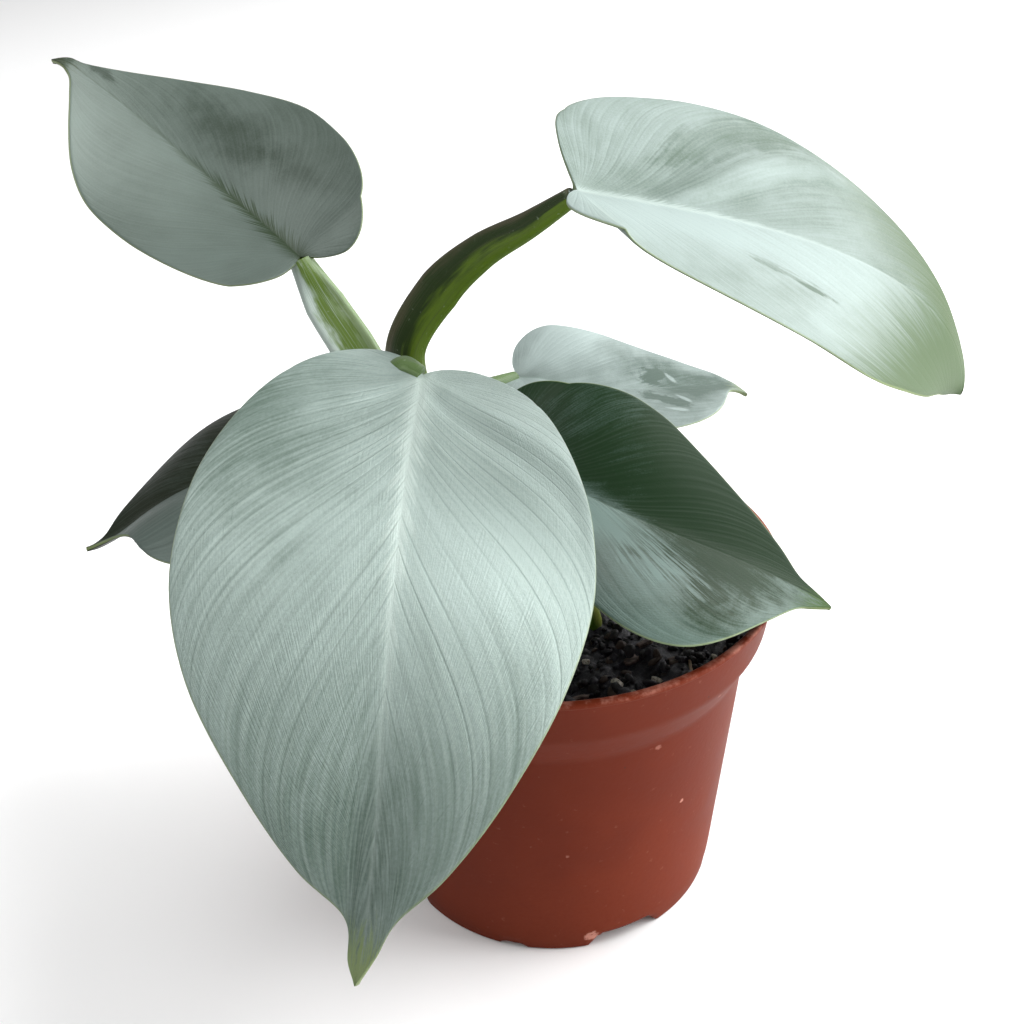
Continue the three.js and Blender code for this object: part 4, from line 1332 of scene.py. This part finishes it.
# %% [markdown]
# ### Relief of a blade
# On the upper side the midrib lies in a channel and the side veins are fine grooves with
# the skin bulging softly between them. On the lower side the midrib is a strong ridge that
# fades towards the tip. A few wide folds follow the veins where the real blade is creased.
# The rim is thin and round, and the drip tip is thick.

# %% Paths of the side veins
VEIN_START = 2.6
EDGE_SMOOTHING = 61
SWING_ROWS = (0.12, 0.5)
OUTWARD = 0.3
# how far a vein runs straight on at its root and before the margin, as shares of its chord
ROOT_REACH = 0.36
EDGE_REACH = 0.40
# the angle between midrib and vein, at rows from the nape to the tip
SLANT_ROWS = [0, 0.3, 0.45, 0.6, 0.8, 1]
SLANT_ANGLES = [90, 62, 40, 28, 20, 12]


def vein_paths(leaf, length, rows, out, right):
    """Side veins of one half: each leaves the midrib at a slant and swings round to the edge."""
    edge_across, edge_along = margin(leaf, length, rows, right)
    start = np.maximum(0, (rows - LOBE_ROWS) / (1 - LOBE_ROWS)) ** VEIN_START * length
    root = np.stack([0 * start, start], -1)
    edge = np.stack([np.abs(edge_across), edge_along], -1)
    chord = np.linalg.norm(edge - root, axis=1, keepdims=True)
    straight = unit(edge - root + 1e-9)
    slant = np.radians(np.interp(rows, SLANT_ROWS, SLANT_ANGLES))
    slant = np.stack([np.sin(slant), np.cos(slant)], -1)
    window = np.hanning(EDGE_SMOOTHING) / np.hanning(EDGE_SMOOTHING).sum()
    run = np.pad(np.gradient(edge, axis=0), ((EDGE_SMOOTHING // 2,) * 2, (0, 0)), mode="edge")
    tangent = np.stack([np.convolve(run[:, i], window, "valid") for i in (0, 1)], -1)
    tangent = unit(tangent + 1e-9)
    outward = np.stack([tangent[:, 1], -tangent[:, 0]], -1)
    swing = smooth(rows, *SWING_ROWS)[:, None]
    leave = unit(slant * swing + straight * (1 - swing))
    arrive = unit((tangent + OUTWARD * outward) * swing + straight * (1 - swing))
    one = root + ROOT_REACH * chord * leave
    two = edge - EDGE_REACH * chord * arrive
    t = out[None, :, None]
    path = (1 - t) ** 3 * root[:, None] + 3 * (1 - t) ** 2 * t * one[:, None]
    path = path + 3 * (1 - t) * t ** 2 * two[:, None] + t ** 3 * edge[:, None]
    return path[..., 0] * (1 if right else -1), path[..., 1]


print("veins leave the midrib at", SLANT_ANGLES[0], "to", SLANT_ANGLES[-1], "degrees")

# %% Thickness, veins and folds
# lengths in mm; pairs are at the base and at the tip
BLADE_HALF = 0.35
RIM_FROM = 0.955
RIM_WIDTH = 0.045
RIM_THICKNESS = 0.62
TIP_FROM = 0.9
TIP_TO = 0.97
TIP_SWELL = 0.5
RIB_HEIGHTS = (1.5, 0.2)
RIB_WIDTHS = (2.4, 0.7)
CHANNEL_DEPTH = 0.16
CHANNEL_WIDTHS = (1.5, 0.5)
# how much of the channel is lost towards the tip
CHANNEL_LOSS = 0.8
VEINS = 36
# slow changes of the distance between veins: amount, rate and shift
VEIN_DRIFTS = [(0.33, 21, 0.0), (0.21, 47, 1.0)]
VEIN_DEPTH = 0.024
VEIN_SHARPNESS = 9
SKIN_BULGE = 0.2
GROOVE_BELOW = 0.4
FOLD_ENDS = 0.15
# wide folds: side (1 is the right half), share of the rows, width, height in mm, from, to
FOLDS = {leaf: [] for leaf in LEAVES}
FOLDS["front"] = [
    {"side": 1, "share": 0.44, "width": 0.05, "height": 0.5, "from": 0.05, "to": 1.0},
    {"side": -1, "share": 0.52, "width": 0.035, "height": -0.5, "from": 0.02, "to": 0.95},
    {"side": -1, "share": 0.43, "width": 0.04, "height": 0.4, "from": 0.05, "to": 1.0},
]
FOLDS["high-right"] = [
    {"side": -1, "share": 0.672, "width": 0.035, "height": 1.0, "from": 0.02, "to": 0.95},
]


def vein_number(share):
    """Counts the side veins along the rows. A whole number is the middle of a groove."""
    drifts = (amount * np.sin(rate * share + shift) for amount, rate, shift in VEIN_DRIFTS)
    return VEINS * share + sum(drifts)


def vein_relief(share, out):
    """Depth of the grooves between 0 and 1, and the soft bulge between them."""
    turn = 2 * math.pi * vein_number(share)
    groove = (0.5 + 0.5 * np.cos(turn)) ** VEIN_SHARPNESS
    fade = smooth(out, 0.04, 0.24) * (1 - smooth(out, 0.88, 0.99))
    fade = fade * smooth(share, 0.03, 0.1) * (1 - smooth(share, 0.9, 0.98))
    return groove * fade, 0.5 * (1 - np.cos(turn)) * fade


def wide_folds(name, share, out):
    """Height of the creases that both skins follow."""
    folds = np.zeros_like(out)
    reach = np.abs(out)
    for fold in FOLDS[name]:
        on_side = (np.sign(out) == fold["side"]) | (out == 0)
        run = smooth(reach, fold["from"], fold["from"] + FOLD_ENDS)
        run = run * (1 - smooth(reach, fold["to"] - FOLD_ENDS, fold["to"]))
        folds += on_side * fold["height"] * bell(share, fold["share"], fold["width"]) * run
    return folds


def skin_heights(name, share, out, progress, reach):
    """How far the upper and the lower skin stand off the blade's middle, in mm."""
    groove, bulge = vein_relief(share, np.abs(out))
    rim = np.clip(np.abs(out) - RIM_FROM, 0, 1) / RIM_WIDTH
    rim = np.sqrt(np.clip(1 - rim ** 2, 0, 1))
    tip = smooth(progress, TIP_FROM, TIP_TO)
    channel = CHANNEL_DEPTH * (1 - smooth(reach, 0, mixed(CHANNEL_WIDTHS, progress)))
    channel = channel * (1 - CHANNEL_LOSS * progress)
    rib = mixed(RIB_HEIGHTS, progress) * (1 - smooth(reach, 0.1, mixed(RIB_WIDTHS, progress)))
    folds = wide_folds(name, share, out)
    thickness = RIM_THICKNESS + (1 - RIM_THICKNESS) * rim
    half = BLADE_HALF * thickness * (1 + TIP_SWELL * tip) * rim
    upper = half + folds + rim * (VEIN_DEPTH * (SKIN_BULGE * bulge - groove) - channel)
    lower = -half + folds - rim * (rib + VEIN_DEPTH * GROOVE_BELOW * groove)
    edge = np.abs(out) == 1
    upper[edge] = lower[edge] = folds[edge]
    return upper, lower


print("side veins counted over a half:", VEINS)

# %% Mesh of a blade
BLADE_ROWS = 330
# columns lie close together at the midrib and at the rim, where the surface turns most
BLADE_COLUMNS = np.concatenate([
    [0, 0.012, 0.026, 0.042, 0.062, 0.085], np.linspace(0.11, 0.95, 30),
    [0.968, 0.98, 0.989, 0.995, 0.9985, 1],
])
BLADE_WELD = 1e-7


def blade_grid(leaf, midrib):
    """Rows of flat places, left margin to right margin, and where they lie in vein terms."""
    rows = np.linspace(0, 1, BLADE_ROWS + 1)
    left, right = (vein_paths(leaf, midrib.length, rows, BLADE_COLUMNS, half) for half in (0, 1))
    across, along = (np.hstack([a[:, :0:-1], b]) for a, b in zip(left, right))
    out = np.concatenate([-BLADE_COLUMNS[:0:-1], BLADE_COLUMNS])
    share, out = np.broadcast_arrays(rows[:, None], out[None, :])
    return across, along, share, out


def point_normals(points, faces):
    """The direction in which the sheet faces at each point."""
    normals = np.zeros_like(points)
    a, b, c, d = (points[faces[:, i]] for i in range(4))
    across = np.cross(c - a, d - b)
    for i in range(4):
        np.add.at(normals, faces[:, i], across)
    return unit(normals + 1e-12)


def two_skins(place, edge, cells):
    """Joins an upper and a lower skin along the margin.

    Returns the points to keep, the faces, the point of the sheet behind each corner of a
    face, and each face's side: 0 above, 1 below."""
    count = len(place)
    skins = np.concatenate([place, place + place.max() + 1])
    skins[count:][edge] = place[edge]
    _, keep, number = np.unique(skins, return_index=True, return_inverse=True)
    faces, sources, sides = [], [], []
    for side, corners in enumerate((cells, cells[:, ::-1] + count)):
        for cell in corners:
            named = [(int(number[c]), int(c)) for c in cell]
            kept = [pair for k, pair in enumerate(named) if pair[0] != named[k - 1][0]]
            if len({n for n, _ in kept}) == len(kept) and len(kept) > 2:
                faces.append([n for n, _ in kept])
                sources += [c % count for _, c in kept]
                sides.append(side)
    return keep, faces, sources, sides


def make_blade(name, top_finish, under_finish):
    """One blade as a closed mesh with a finish on each side and two layers of coordinates."""
    leaf = LEAVES[name]
    midrib = Midrib(leaf["midrib"])
    length = midrib.length
    across, along, share, out = blade_grid(leaf, midrib)
    sheet = blade_surface(leaf, midrib, across, along).reshape(-1, 3)
    across, along, share, out = (v.reshape(-1) for v in (across, along, share, out))
    cells = row_faces(BLADE_ROWS + 1, 2 * len(BLADE_COLUMNS) - 1)
    first, place = weld(sheet, BLADE_WELD)
    normal = point_normals(sheet[first], place[cells])[place]
    progress = np.clip(along / length, 0, 1)
    heights = skin_heights(name, share, out, progress, np.abs(across))
    grid = np.vstack([sheet + normal * height[:, None] for height in heights])
    keep, faces, sources, sides = two_skins(place, np.abs(out) == 1, cells)
    blade = make_piece("leaf-" + name, grid[keep], faces, [top_finish, under_finish],
                       ["blade-" + name], face_material=sides)
    for layer, pair in (("veins", (share, out)), ("flat", (across / length, along / length))):
        uv = blade.data.uv_layers.new(name=layer)
        uv.data.foreach_set("uv", np.stack([values[sources] for values in pair], -1).ravel())
    return blade


print("mesh of a blade:", BLADE_ROWS + 1, "rows of", 2 * len(BLADE_COLUMNS) - 1, "points")

# %% [markdown]
# ### How a blade is coloured
# The silver look comes from a skin that stands off the green tissue. Where it is whole the
# leaf is pale grey green and satin; where it is wet or pressed the green shows. The finish
# mixes the two by one number, the share of whole skin. Streaks that follow the veins,
# a cloudy change, fine grain and a few single patches raise or lower that number, and some
# patches paint light and shade through it. Then the sunken veins are drawn darker, partly
# as painted shade in their grooves, with a painted highlight beside them; the midrib gets
# its own colour and the rim a yellow green. Everything is laid out with the two layers kept
# on the mesh: one along the veins, one flat.

# %% Colours of the six blades
# green and silver: the two colours that are mixed; skin: share of whole skin on the left
# and the right half; blend: how softly one half turns into the other; edge: a paler margin;
# tip: colour, start and end of the green tip, its slope to the margin, and skin lost there
PLAIN_LOOK = {"tip_slope": 0.0, "tip_loss": 0.0, "edge": 0.0, "rough": 0.0}
LOOKS = {
    "high-right": {
        "green": (0.085, 0.125, 0.095), "silver": (0.265, 0.33, 0.315),
        "skin": (0.40, 0.70), "blend": 0.05,
        "tip": (0.066, 0.102, 0.042), "tip_from": 0.61, "tip_to": 0.87, "tip_slope": 0.45,
        "rib": (0.42, 0.50, 0.47), "rib_width": 0.012, "rib_strength": 0.45,
        "veins": 0.12, "wrinkles": 0.15, "streaks": 0.09, "clouds": 0.18, "rough": 0.10,
    },
    "high-left": {
        "green": (0.038, 0.052, 0.040), "silver": (0.104, 0.138, 0.120),
        "skin": (0.72, 0.50), "blend": 0.10,
        "tip": (0.035, 0.045, 0.022), "tip_from": 0.92, "tip_to": 1.0,
        "rib": (0.018, 0.036, 0.012), "rib_width": 0.032, "rib_strength": 1.0,
        "veins": 0.10, "wrinkles": 0.15, "streaks": 0.06, "clouds": 0.14,
    },
    "front": {
        "green": (0.100, 0.145, 0.118), "silver": (0.365, 0.452, 0.422),
        "skin": (0.84, 0.72), "blend": 0.05,
        "tip": (0.230, 0.300, 0.120), "tip_from": 0.89, "tip_to": 0.965, "tip_loss": 0.50,
        "rib": (0.58, 0.68, 0.63), "rib_width": 0.022, "rib_strength": 0.6,
        "veins": 0.60, "wrinkles": 1.3, "streaks": 0.13, "clouds": 0.08,
    },
    "small": {
        "green": (0.080, 0.112, 0.095), "silver": (0.33, 0.40, 0.385),
        "skin": (0.62, 0.42), "blend": 0.25,
        "tip": (0.16, 0.20, 0.12), "tip_from": 0.93, "tip_to": 1.0, "tip_loss": 0.50,
        "rib": (0.30, 0.38, 0.34), "rib_width": 0.010, "rib_strength": 0.3,
        "veins": 0.1, "wrinkles": 0.2, "streaks": 0.08, "clouds": 0.25, "edge": 0.35,
    },
    "right": {
        # the left half has no skin and a dark green: partly its own colour, partly painted shade
        "green": (0.012, 0.033, 0.012), "silver": (0.122, 0.190, 0.168),
        "skin": (0.0, 0.86), "blend": 0.30,
        "tip": (0.030, 0.070, 0.006), "tip_from": 0.90, "tip_to": 0.98, "tip_loss": 0.40,
        "rib": (0.045, 0.080, 0.040), "rib_width": 0.009, "rib_strength": 0.35,
        "veins": 0.12, "wrinkles": 0.2, "streaks": 0.10, "clouds": 0.12,
    },
    "left": {
        # the right half has no skin and a nearly black green: partly its own, partly painted shade
        "green": (0.005, 0.009, 0.002), "silver": (0.082, 0.112, 0.098),
        "skin": (0.85, 0.0), "blend": 0.08,
        "tip": (0.010, 0.016, 0.004), "tip_from": 0.92, "tip_to": 1.0,
        "rib": (0.030, 0.045, 0.025), "rib_width": 0.010, "rib_strength": 0.6,
        "veins": 0.2, "wrinkles": 0.2, "streaks": 0.08, "clouds": 0.10,
    },
}
print("looks:", ", ".join(LOOKS))

# %% [markdown]
# Single patches tell these leaves apart, and the wide soft ones paint light and shade. On
# the high right blade the skin is thin in two long streaks, a painted shadow lies above a
# fold and a painted highlight on the fold. The high left one has a dark cloud of painted
# shade. The small one has two dark patches and a few white flecks, and painted light on its
# lobes. The front one has a painted highlight along a fold. The right blade has bright
# streaks of painted highlight and a watery mark near its margin. A patch lies on the flat
# blade, or along the veins when it has to follow them. A soft one fades out slowly, and one
# of streaks shows only where the fine streaks are strong.

# %% Patches in the skin
# layer, place (across, along or share, out), half sizes, turn in degrees, change of skin;
# soft ones and some others paint light and shade
PATCHES = {
    "high-right": [
        ("flat", (0.160, 0.430), (0.010, 0.105), -17, -0.42),
        ("flat", (0.180, 0.490), (0.008, 0.060), -9, -0.30),
        ("flat", (0.140, 0.420), (0.004, 0.110), -15, -0.25),
        # painted shade, a painted shadow above the fold, a painted highlight on it, painted light
        ("soft", (0.24, 0.42), (0.08, 0.22), 10, -0.25),
        ("veins", (0.605, -0.66), (0.050, 0.40), 0, -0.17),
        ("veins", (0.69, -0.45), (0.022, 0.40), 0, 0.20),
        ("soft", (0.05, 0.25), (0.10, 0.30), 0, 0.25),
    ],
    "high-left": [
        # a soft cloud of painted shade
        ("soft", (0.155, 0.50), (0.10, 0.20), 0, -0.50),
        ("flat", (0.050, 0.88), (0.022, 0.05), 0, -0.4),
        # painted shade
        ("soft", (0.20, 0.22), (0.06, 0.12), 0, -0.25),
    ],
    "front": [
        # the soft ones paint shade and light, the last one a highlight along a fold
        ("soft", (0.24, 0.13), (0.17, 0.22), 0, -0.62),
        ("soft", (0.03, 0.80), (0.14, 0.14), 0, -0.12),
        ("soft", (-0.15, 0.36), (0.14, 0.14), 0, 0.25),
        ("veins", (0.46, 0.55), (0.05, 0.50), 0, 0.15),
    ],
    "small": [
        # painted light on the lobes
        ("soft", (-0.20, 0.10), (0.22, 0.24), 0, 0.40),
        ("flat", (-0.085, 0.62), (0.050, 0.065), 0, -0.50),
        ("flat", (0.115, 0.62), (0.036, 0.11), -46, -0.50),
        ("flat", (-0.068, 0.70), (0.040, 0.012), 25, 0.5),
        ("flat", (0.135, 0.70), (0.050, 0.012), 20, 0.5),
        ("flat", (0.225, 0.64), (0.012, 0.035), -30, 0.5),
    ],
    "right": [
        # bright streaks of painted highlight
        ("streaks", (0.765, 0.30), (0.060, 0.34), 0, 0.60),
        # one soft patch near the margin is a watery mark; the other soft ones paint light and shade
        ("soft", (0.31, 0.71), (0.075, 0.11), 0, -0.35),
        ("soft", (0.30, 0.45), (0.16, 0.16), 0, -0.15),
        ("soft", (0.09, 0.33), (0.11, 0.15), 0, 0.55),
        ("soft", (0.09, 0.66), (0.17, 0.28), 0, -0.76),
        ("soft", (0.25, 0.72), (0.14, 0.14), 0, -0.28),
    ],
    "left": [],
}
print("patches:", sum(len(patches) for patches in PATCHES.values()))

# %% [markdown]
# The steps of the finish share the same coordinates and noises, so these are made once for
# each side of a blade. The share of whole skin comes next, then the colour, the fine relief
# and the shine.

# %% Veins, noises and patches on a blade
FINE_STREAKS = 150.0
# shifts the noise of one half, so that the halves differ
HALVES_APART = 3.0


def vein_lines(f, share, out):
    """The same count of veins as in the relief, as fine dark lines, partly painted shade in the grooves,
    with painted highlights beside.
    """
    count = f.times(share, float(VEINS))
    for amount, rate, shift in VEIN_DRIFTS:
        turn = f.sums("SINE", f.sums("MULTIPLY_ADD", share, rate, shift))
        count = f.sums("MULTIPLY_ADD", turn, amount, count)
    nearest = f.sums("ROUND", count)
    distance = f.sums("ABSOLUTE", f.sums("SUBTRACT", count, nearest))
    strength = f.fade(f.noise(f.vector(nearest, out), 1.7, detail=2), 0.35, 0.65, 0.25, 1.0)
    dark = f.times(f.fade(distance, 0.015, 0.085, 1.0, 0.0), strength)
    beside = f.sums("ABSOLUTE", f.sums("SUBTRACT", distance, 0.22))
    pale = f.times(f.fade(beside, 0.0, 0.14, 1.0, 0.0), strength)
    return dark, pale


def blade_ground(f):
    """Coordinates on the blade, its vein lines and the noises that the next steps share."""
    veins, flat = f.layer("veins"), f.layer("flat")
    share, out = veins[0], f.sums("ABSOLUTE", veins[1])
    half = f.times(f.sums("GREATER_THAN", veins[1], 0.0), HALVES_APART)
    flat_space = f.vector(flat[0], flat[1], half)

    def stretched(rate_across, rate_along):
        """Space for a noise that is drawn out along the veins."""
        return f.vector(f.times(share, rate_across), f.times(out, rate_along), half)

    dark, pale = vein_lines(f, share, out)
    return SimpleNamespace(
        veins=veins, flat=flat, out=out, along=flat[1], from_rib=f.sums("ABSOLUTE", flat[0]),
        dark=dark, pale=pale,
        broad=f.noise(stretched(16, 1.2), 1.0, detail=3),
        streaks=f.noise(stretched(FINE_STREAKS, 3.0), 1.0, detail=4, roughness=0.6),
        wrinkles=f.noise(stretched(34, 120), 1.0, detail=3, roughness=0.6),
        cloud=f.noise(flat_space, 3.2, detail=3),
        mottle=f.noise(flat_space, 14, detail=4, roughness=0.6),
        grain=f.noise(flat_space, 170, detail=3, roughness=0.7),
    )


def patch(f, layer, ragged, place, size, turn, start=0.55, end=1.25):
    """1 inside a soft oval on the blade, 0 outside it."""
    local = f.node(
        "Mapping", settings={"vector_type": "TEXTURE"}, Vector=f.vector(layer[0], layer[1]),
        Location=(*place, 0.0), Rotation=(0.0, 0.0, math.radians(turn)), Scale=(*size, 1.0))
    reach = f.node("VectorMath", output=1, settings={"operation": "LENGTH"}, i0=local)
    return f.fade(f.plus(reach, ragged), start, end, 1.0, 0.0)


print("fine streaks:", FINE_STREAKS, "to the rows of a half, veins:", VEINS)

# %% Share of whole skin
# the underside has less whole skin and weaker streaks
UNDER_SKIN = 0.45
UNDER_STREAKS = 0.5


def skin_with_painted_light(f, ground, name, look, under):
    """Share of whole skin, 0 where the green shows and 1 where all is silver, with painted light and shade
    from patches.
    """
    depth = look["streaks"] * (UNDER_STREAKS if under else 1.0)
    clouds = look["clouds"]
    skin = f.plus(f.sway(ground.broad, 0.5 * depth), f.sway(ground.streaks, depth))
    skin = f.plus(skin, f.sway(ground.cloud, clouds))
    skin = f.plus(skin, f.sway(ground.mottle, 0.3 * clouds))
    skin = f.plus(skin, f.sway(ground.grain, 0.06))
    skin = f.plus(skin, f.fade(ground.out, 0.55, 1.0, 0.0, look["edge"]))
    skin = f.sums("SUBTRACT", skin, f.fade(ground.along, 0.30, 0.80, 0.0, look["tip_loss"]))
    left, right = (amount * (UNDER_SKIN if under else 1.0) for amount in look["skin"])
    is_right = f.fade(ground.veins[1], -look["blend"], look["blend"])
    skin = f.plus(skin, f.sums("MULTIPLY_ADD", is_right, right - left, left))
    ragged = f.plus(f.sway(ground.mottle, 0.35), f.sway(ground.streaks, 0.12))
    # single patches: marks in the skin, and painted light and shade
    for kind, place, size, turn, change in PATCHES[name]:
        layer = ground.flat if kind in ("flat", "soft") else ground.veins
        if kind == "soft":
            spot = patch(f, layer, f.times(ragged, 0.4), place, size, turn, start=-0.1, end=1.4)
        else:
            spot = patch(f, layer, ragged, place, size, turn)
        if kind == "streaks":
            spot = f.times(spot, f.fade(ground.streaks, 0.44, 0.56))
        skin = f.sums("MULTIPLY_ADD", spot, change, skin)
    return f.clamp(skin)


def green_tip(f, ground, look):
    """1 in the tip, which has lost its silver skin, 0 in the rest of the blade."""
    line = f.plus(ground.along, f.sway(ground.streaks, 0.04))
    line = f.sums("MULTIPLY_ADD", ground.from_rib, look["tip_slope"], line)
    return f.fade(line, look["tip_from"], look["tip_to"])


print("whole skin of the left and the right halves:", [look["skin"] for look in LOOKS.values()])

# %% Colour and fine relief
PAINTED_RIDGE_HIGHLIGHT = (0.6, 0.7, 0.64)
RIM_GREEN = (0.20, 0.25, 0.11)


def blade_colour(f, ground, look, skin, tip, lines):
    """Green and silver by the share of skin with its painted light and shade, then the veins, the midrib,
    the tip and the rim.
    """
    colour = f.mix(skin, look["green"], look["silver"])
    # dark vein lines: partly the veins' green, partly painted shade in the grooves
    colour = f.mix(f.times(ground.dark, 0.40 * lines), colour, look["green"])
    # pale lines beside the veins: a painted highlight on the ridges
    colour = f.mix(f.times(ground.pale, 0.16 * lines), colour, PAINTED_RIDGE_HIGHLIGHT)
    rib_reach = f.fade(ground.along, 0.0, 0.9, look["rib_width"], look["rib_width"] * 0.15)
    rib_edge = f.plus(f.sums("DIVIDE", ground.from_rib, rib_reach), f.sway(ground.streaks, 0.8))
    rib = f.times(f.fade(rib_edge, 0.0, 1.3, 1.0, 0.0), f.fade(ground.along, 0.25, 0.65, 1.0, 0.3))
    colour = f.mix(f.times(rib, look["rib_strength"]), colour, look["rib"])
    colour = f.mix(f.times(tip, 0.92), colour, look["tip"])
    rim = f.fade(ground.out, 0.978, 0.992)
    return f.mix(f.times(rim, 0.6), colour, RIM_GREEN)


def fine_relief(f, ground, look, lines):
    """Grain, cross wrinkles that fade towards the base, and streaks along the veins."""
    surface = f.bump(ground.grain, 0.00025, 0.12 + 0.20 * look["wrinkles"])
    wrinkles = f.times(ground.wrinkles, f.fade(ground.along, 0.3, 0.75, 0.25, 1.0))
    surface = f.bump(wrinkles, 0.0007, 0.5 * look["wrinkles"], below=surface)
    streaks = f.sums("SUBTRACT", f.times(ground.streaks, 0.8), ground.dark)
    return f.bump(streaks, 0.0002, 0.7 * lines, below=surface)


print("strength of the veins:", [look["veins"] for look in LOOKS.values()])

# %% Build and dress the six blades
# veins are weaker on the underside
UNDER_VEINS = 0.4
# the silver sheen of whole skin is on the upper side alone
SILVER_SHEEN = 0.3


def blade_finish(name, look, under=False):
    """One side of a blade. Whole skin is rougher than bare green, and above it has a sheen."""
    f = Finish(name + (" underside" if under else " upper side"), roughness=0.42)
    ground = blade_ground(f)
    skin = skin_with_painted_light(f, ground, name, look, under)
    tip = green_tip(f, ground, look)
    lines = look["veins"] * (UNDER_VEINS if under else 1.0)
    colour = blade_colour(f, ground, look, skin, tip, lines)
    rough = f.fade(skin, 0.1, 1.0, 0.36 + look["rough"], 0.48 + look["rough"])
    whole = f.times(skin, f.sums("SUBTRACT", 1.0, tip))
    if not under:
        f.plug(f.shader.inputs["Metallic"], f.times(whole, SILVER_SHEEN))
    gloss = f.fade(whole, 0.0, 0.8, 0.12, 0.50)
    return f.done(Base_Color=colour, Roughness=rough, Specular_IOR_Level=gloss,
                  Normal=fine_relief(f, ground, look, lines))


blades = {}
for name, look in LOOKS.items():
    look = {**PLAIN_LOOK, **look}
    upper, under = blade_finish(name, look), blade_finish(name, look, under=True)
    blades[name] = make_blade(name, upper, under)
    print(name, "blade:", len(blades[name].data.polygons), "faces")

# %% [markdown]
# ## Size
# The dressed plant should stay within the packed model's box. Both boxes are written down
# so that they can be compared.

# %% Write the sizes and finish
sizes = {"cad": cad_box, "dressed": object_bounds()}
for name, (low, high) in sizes.items():
    print(name, [round((b - a) * 1000, 1) for a, b in zip(low, high)], "mm")
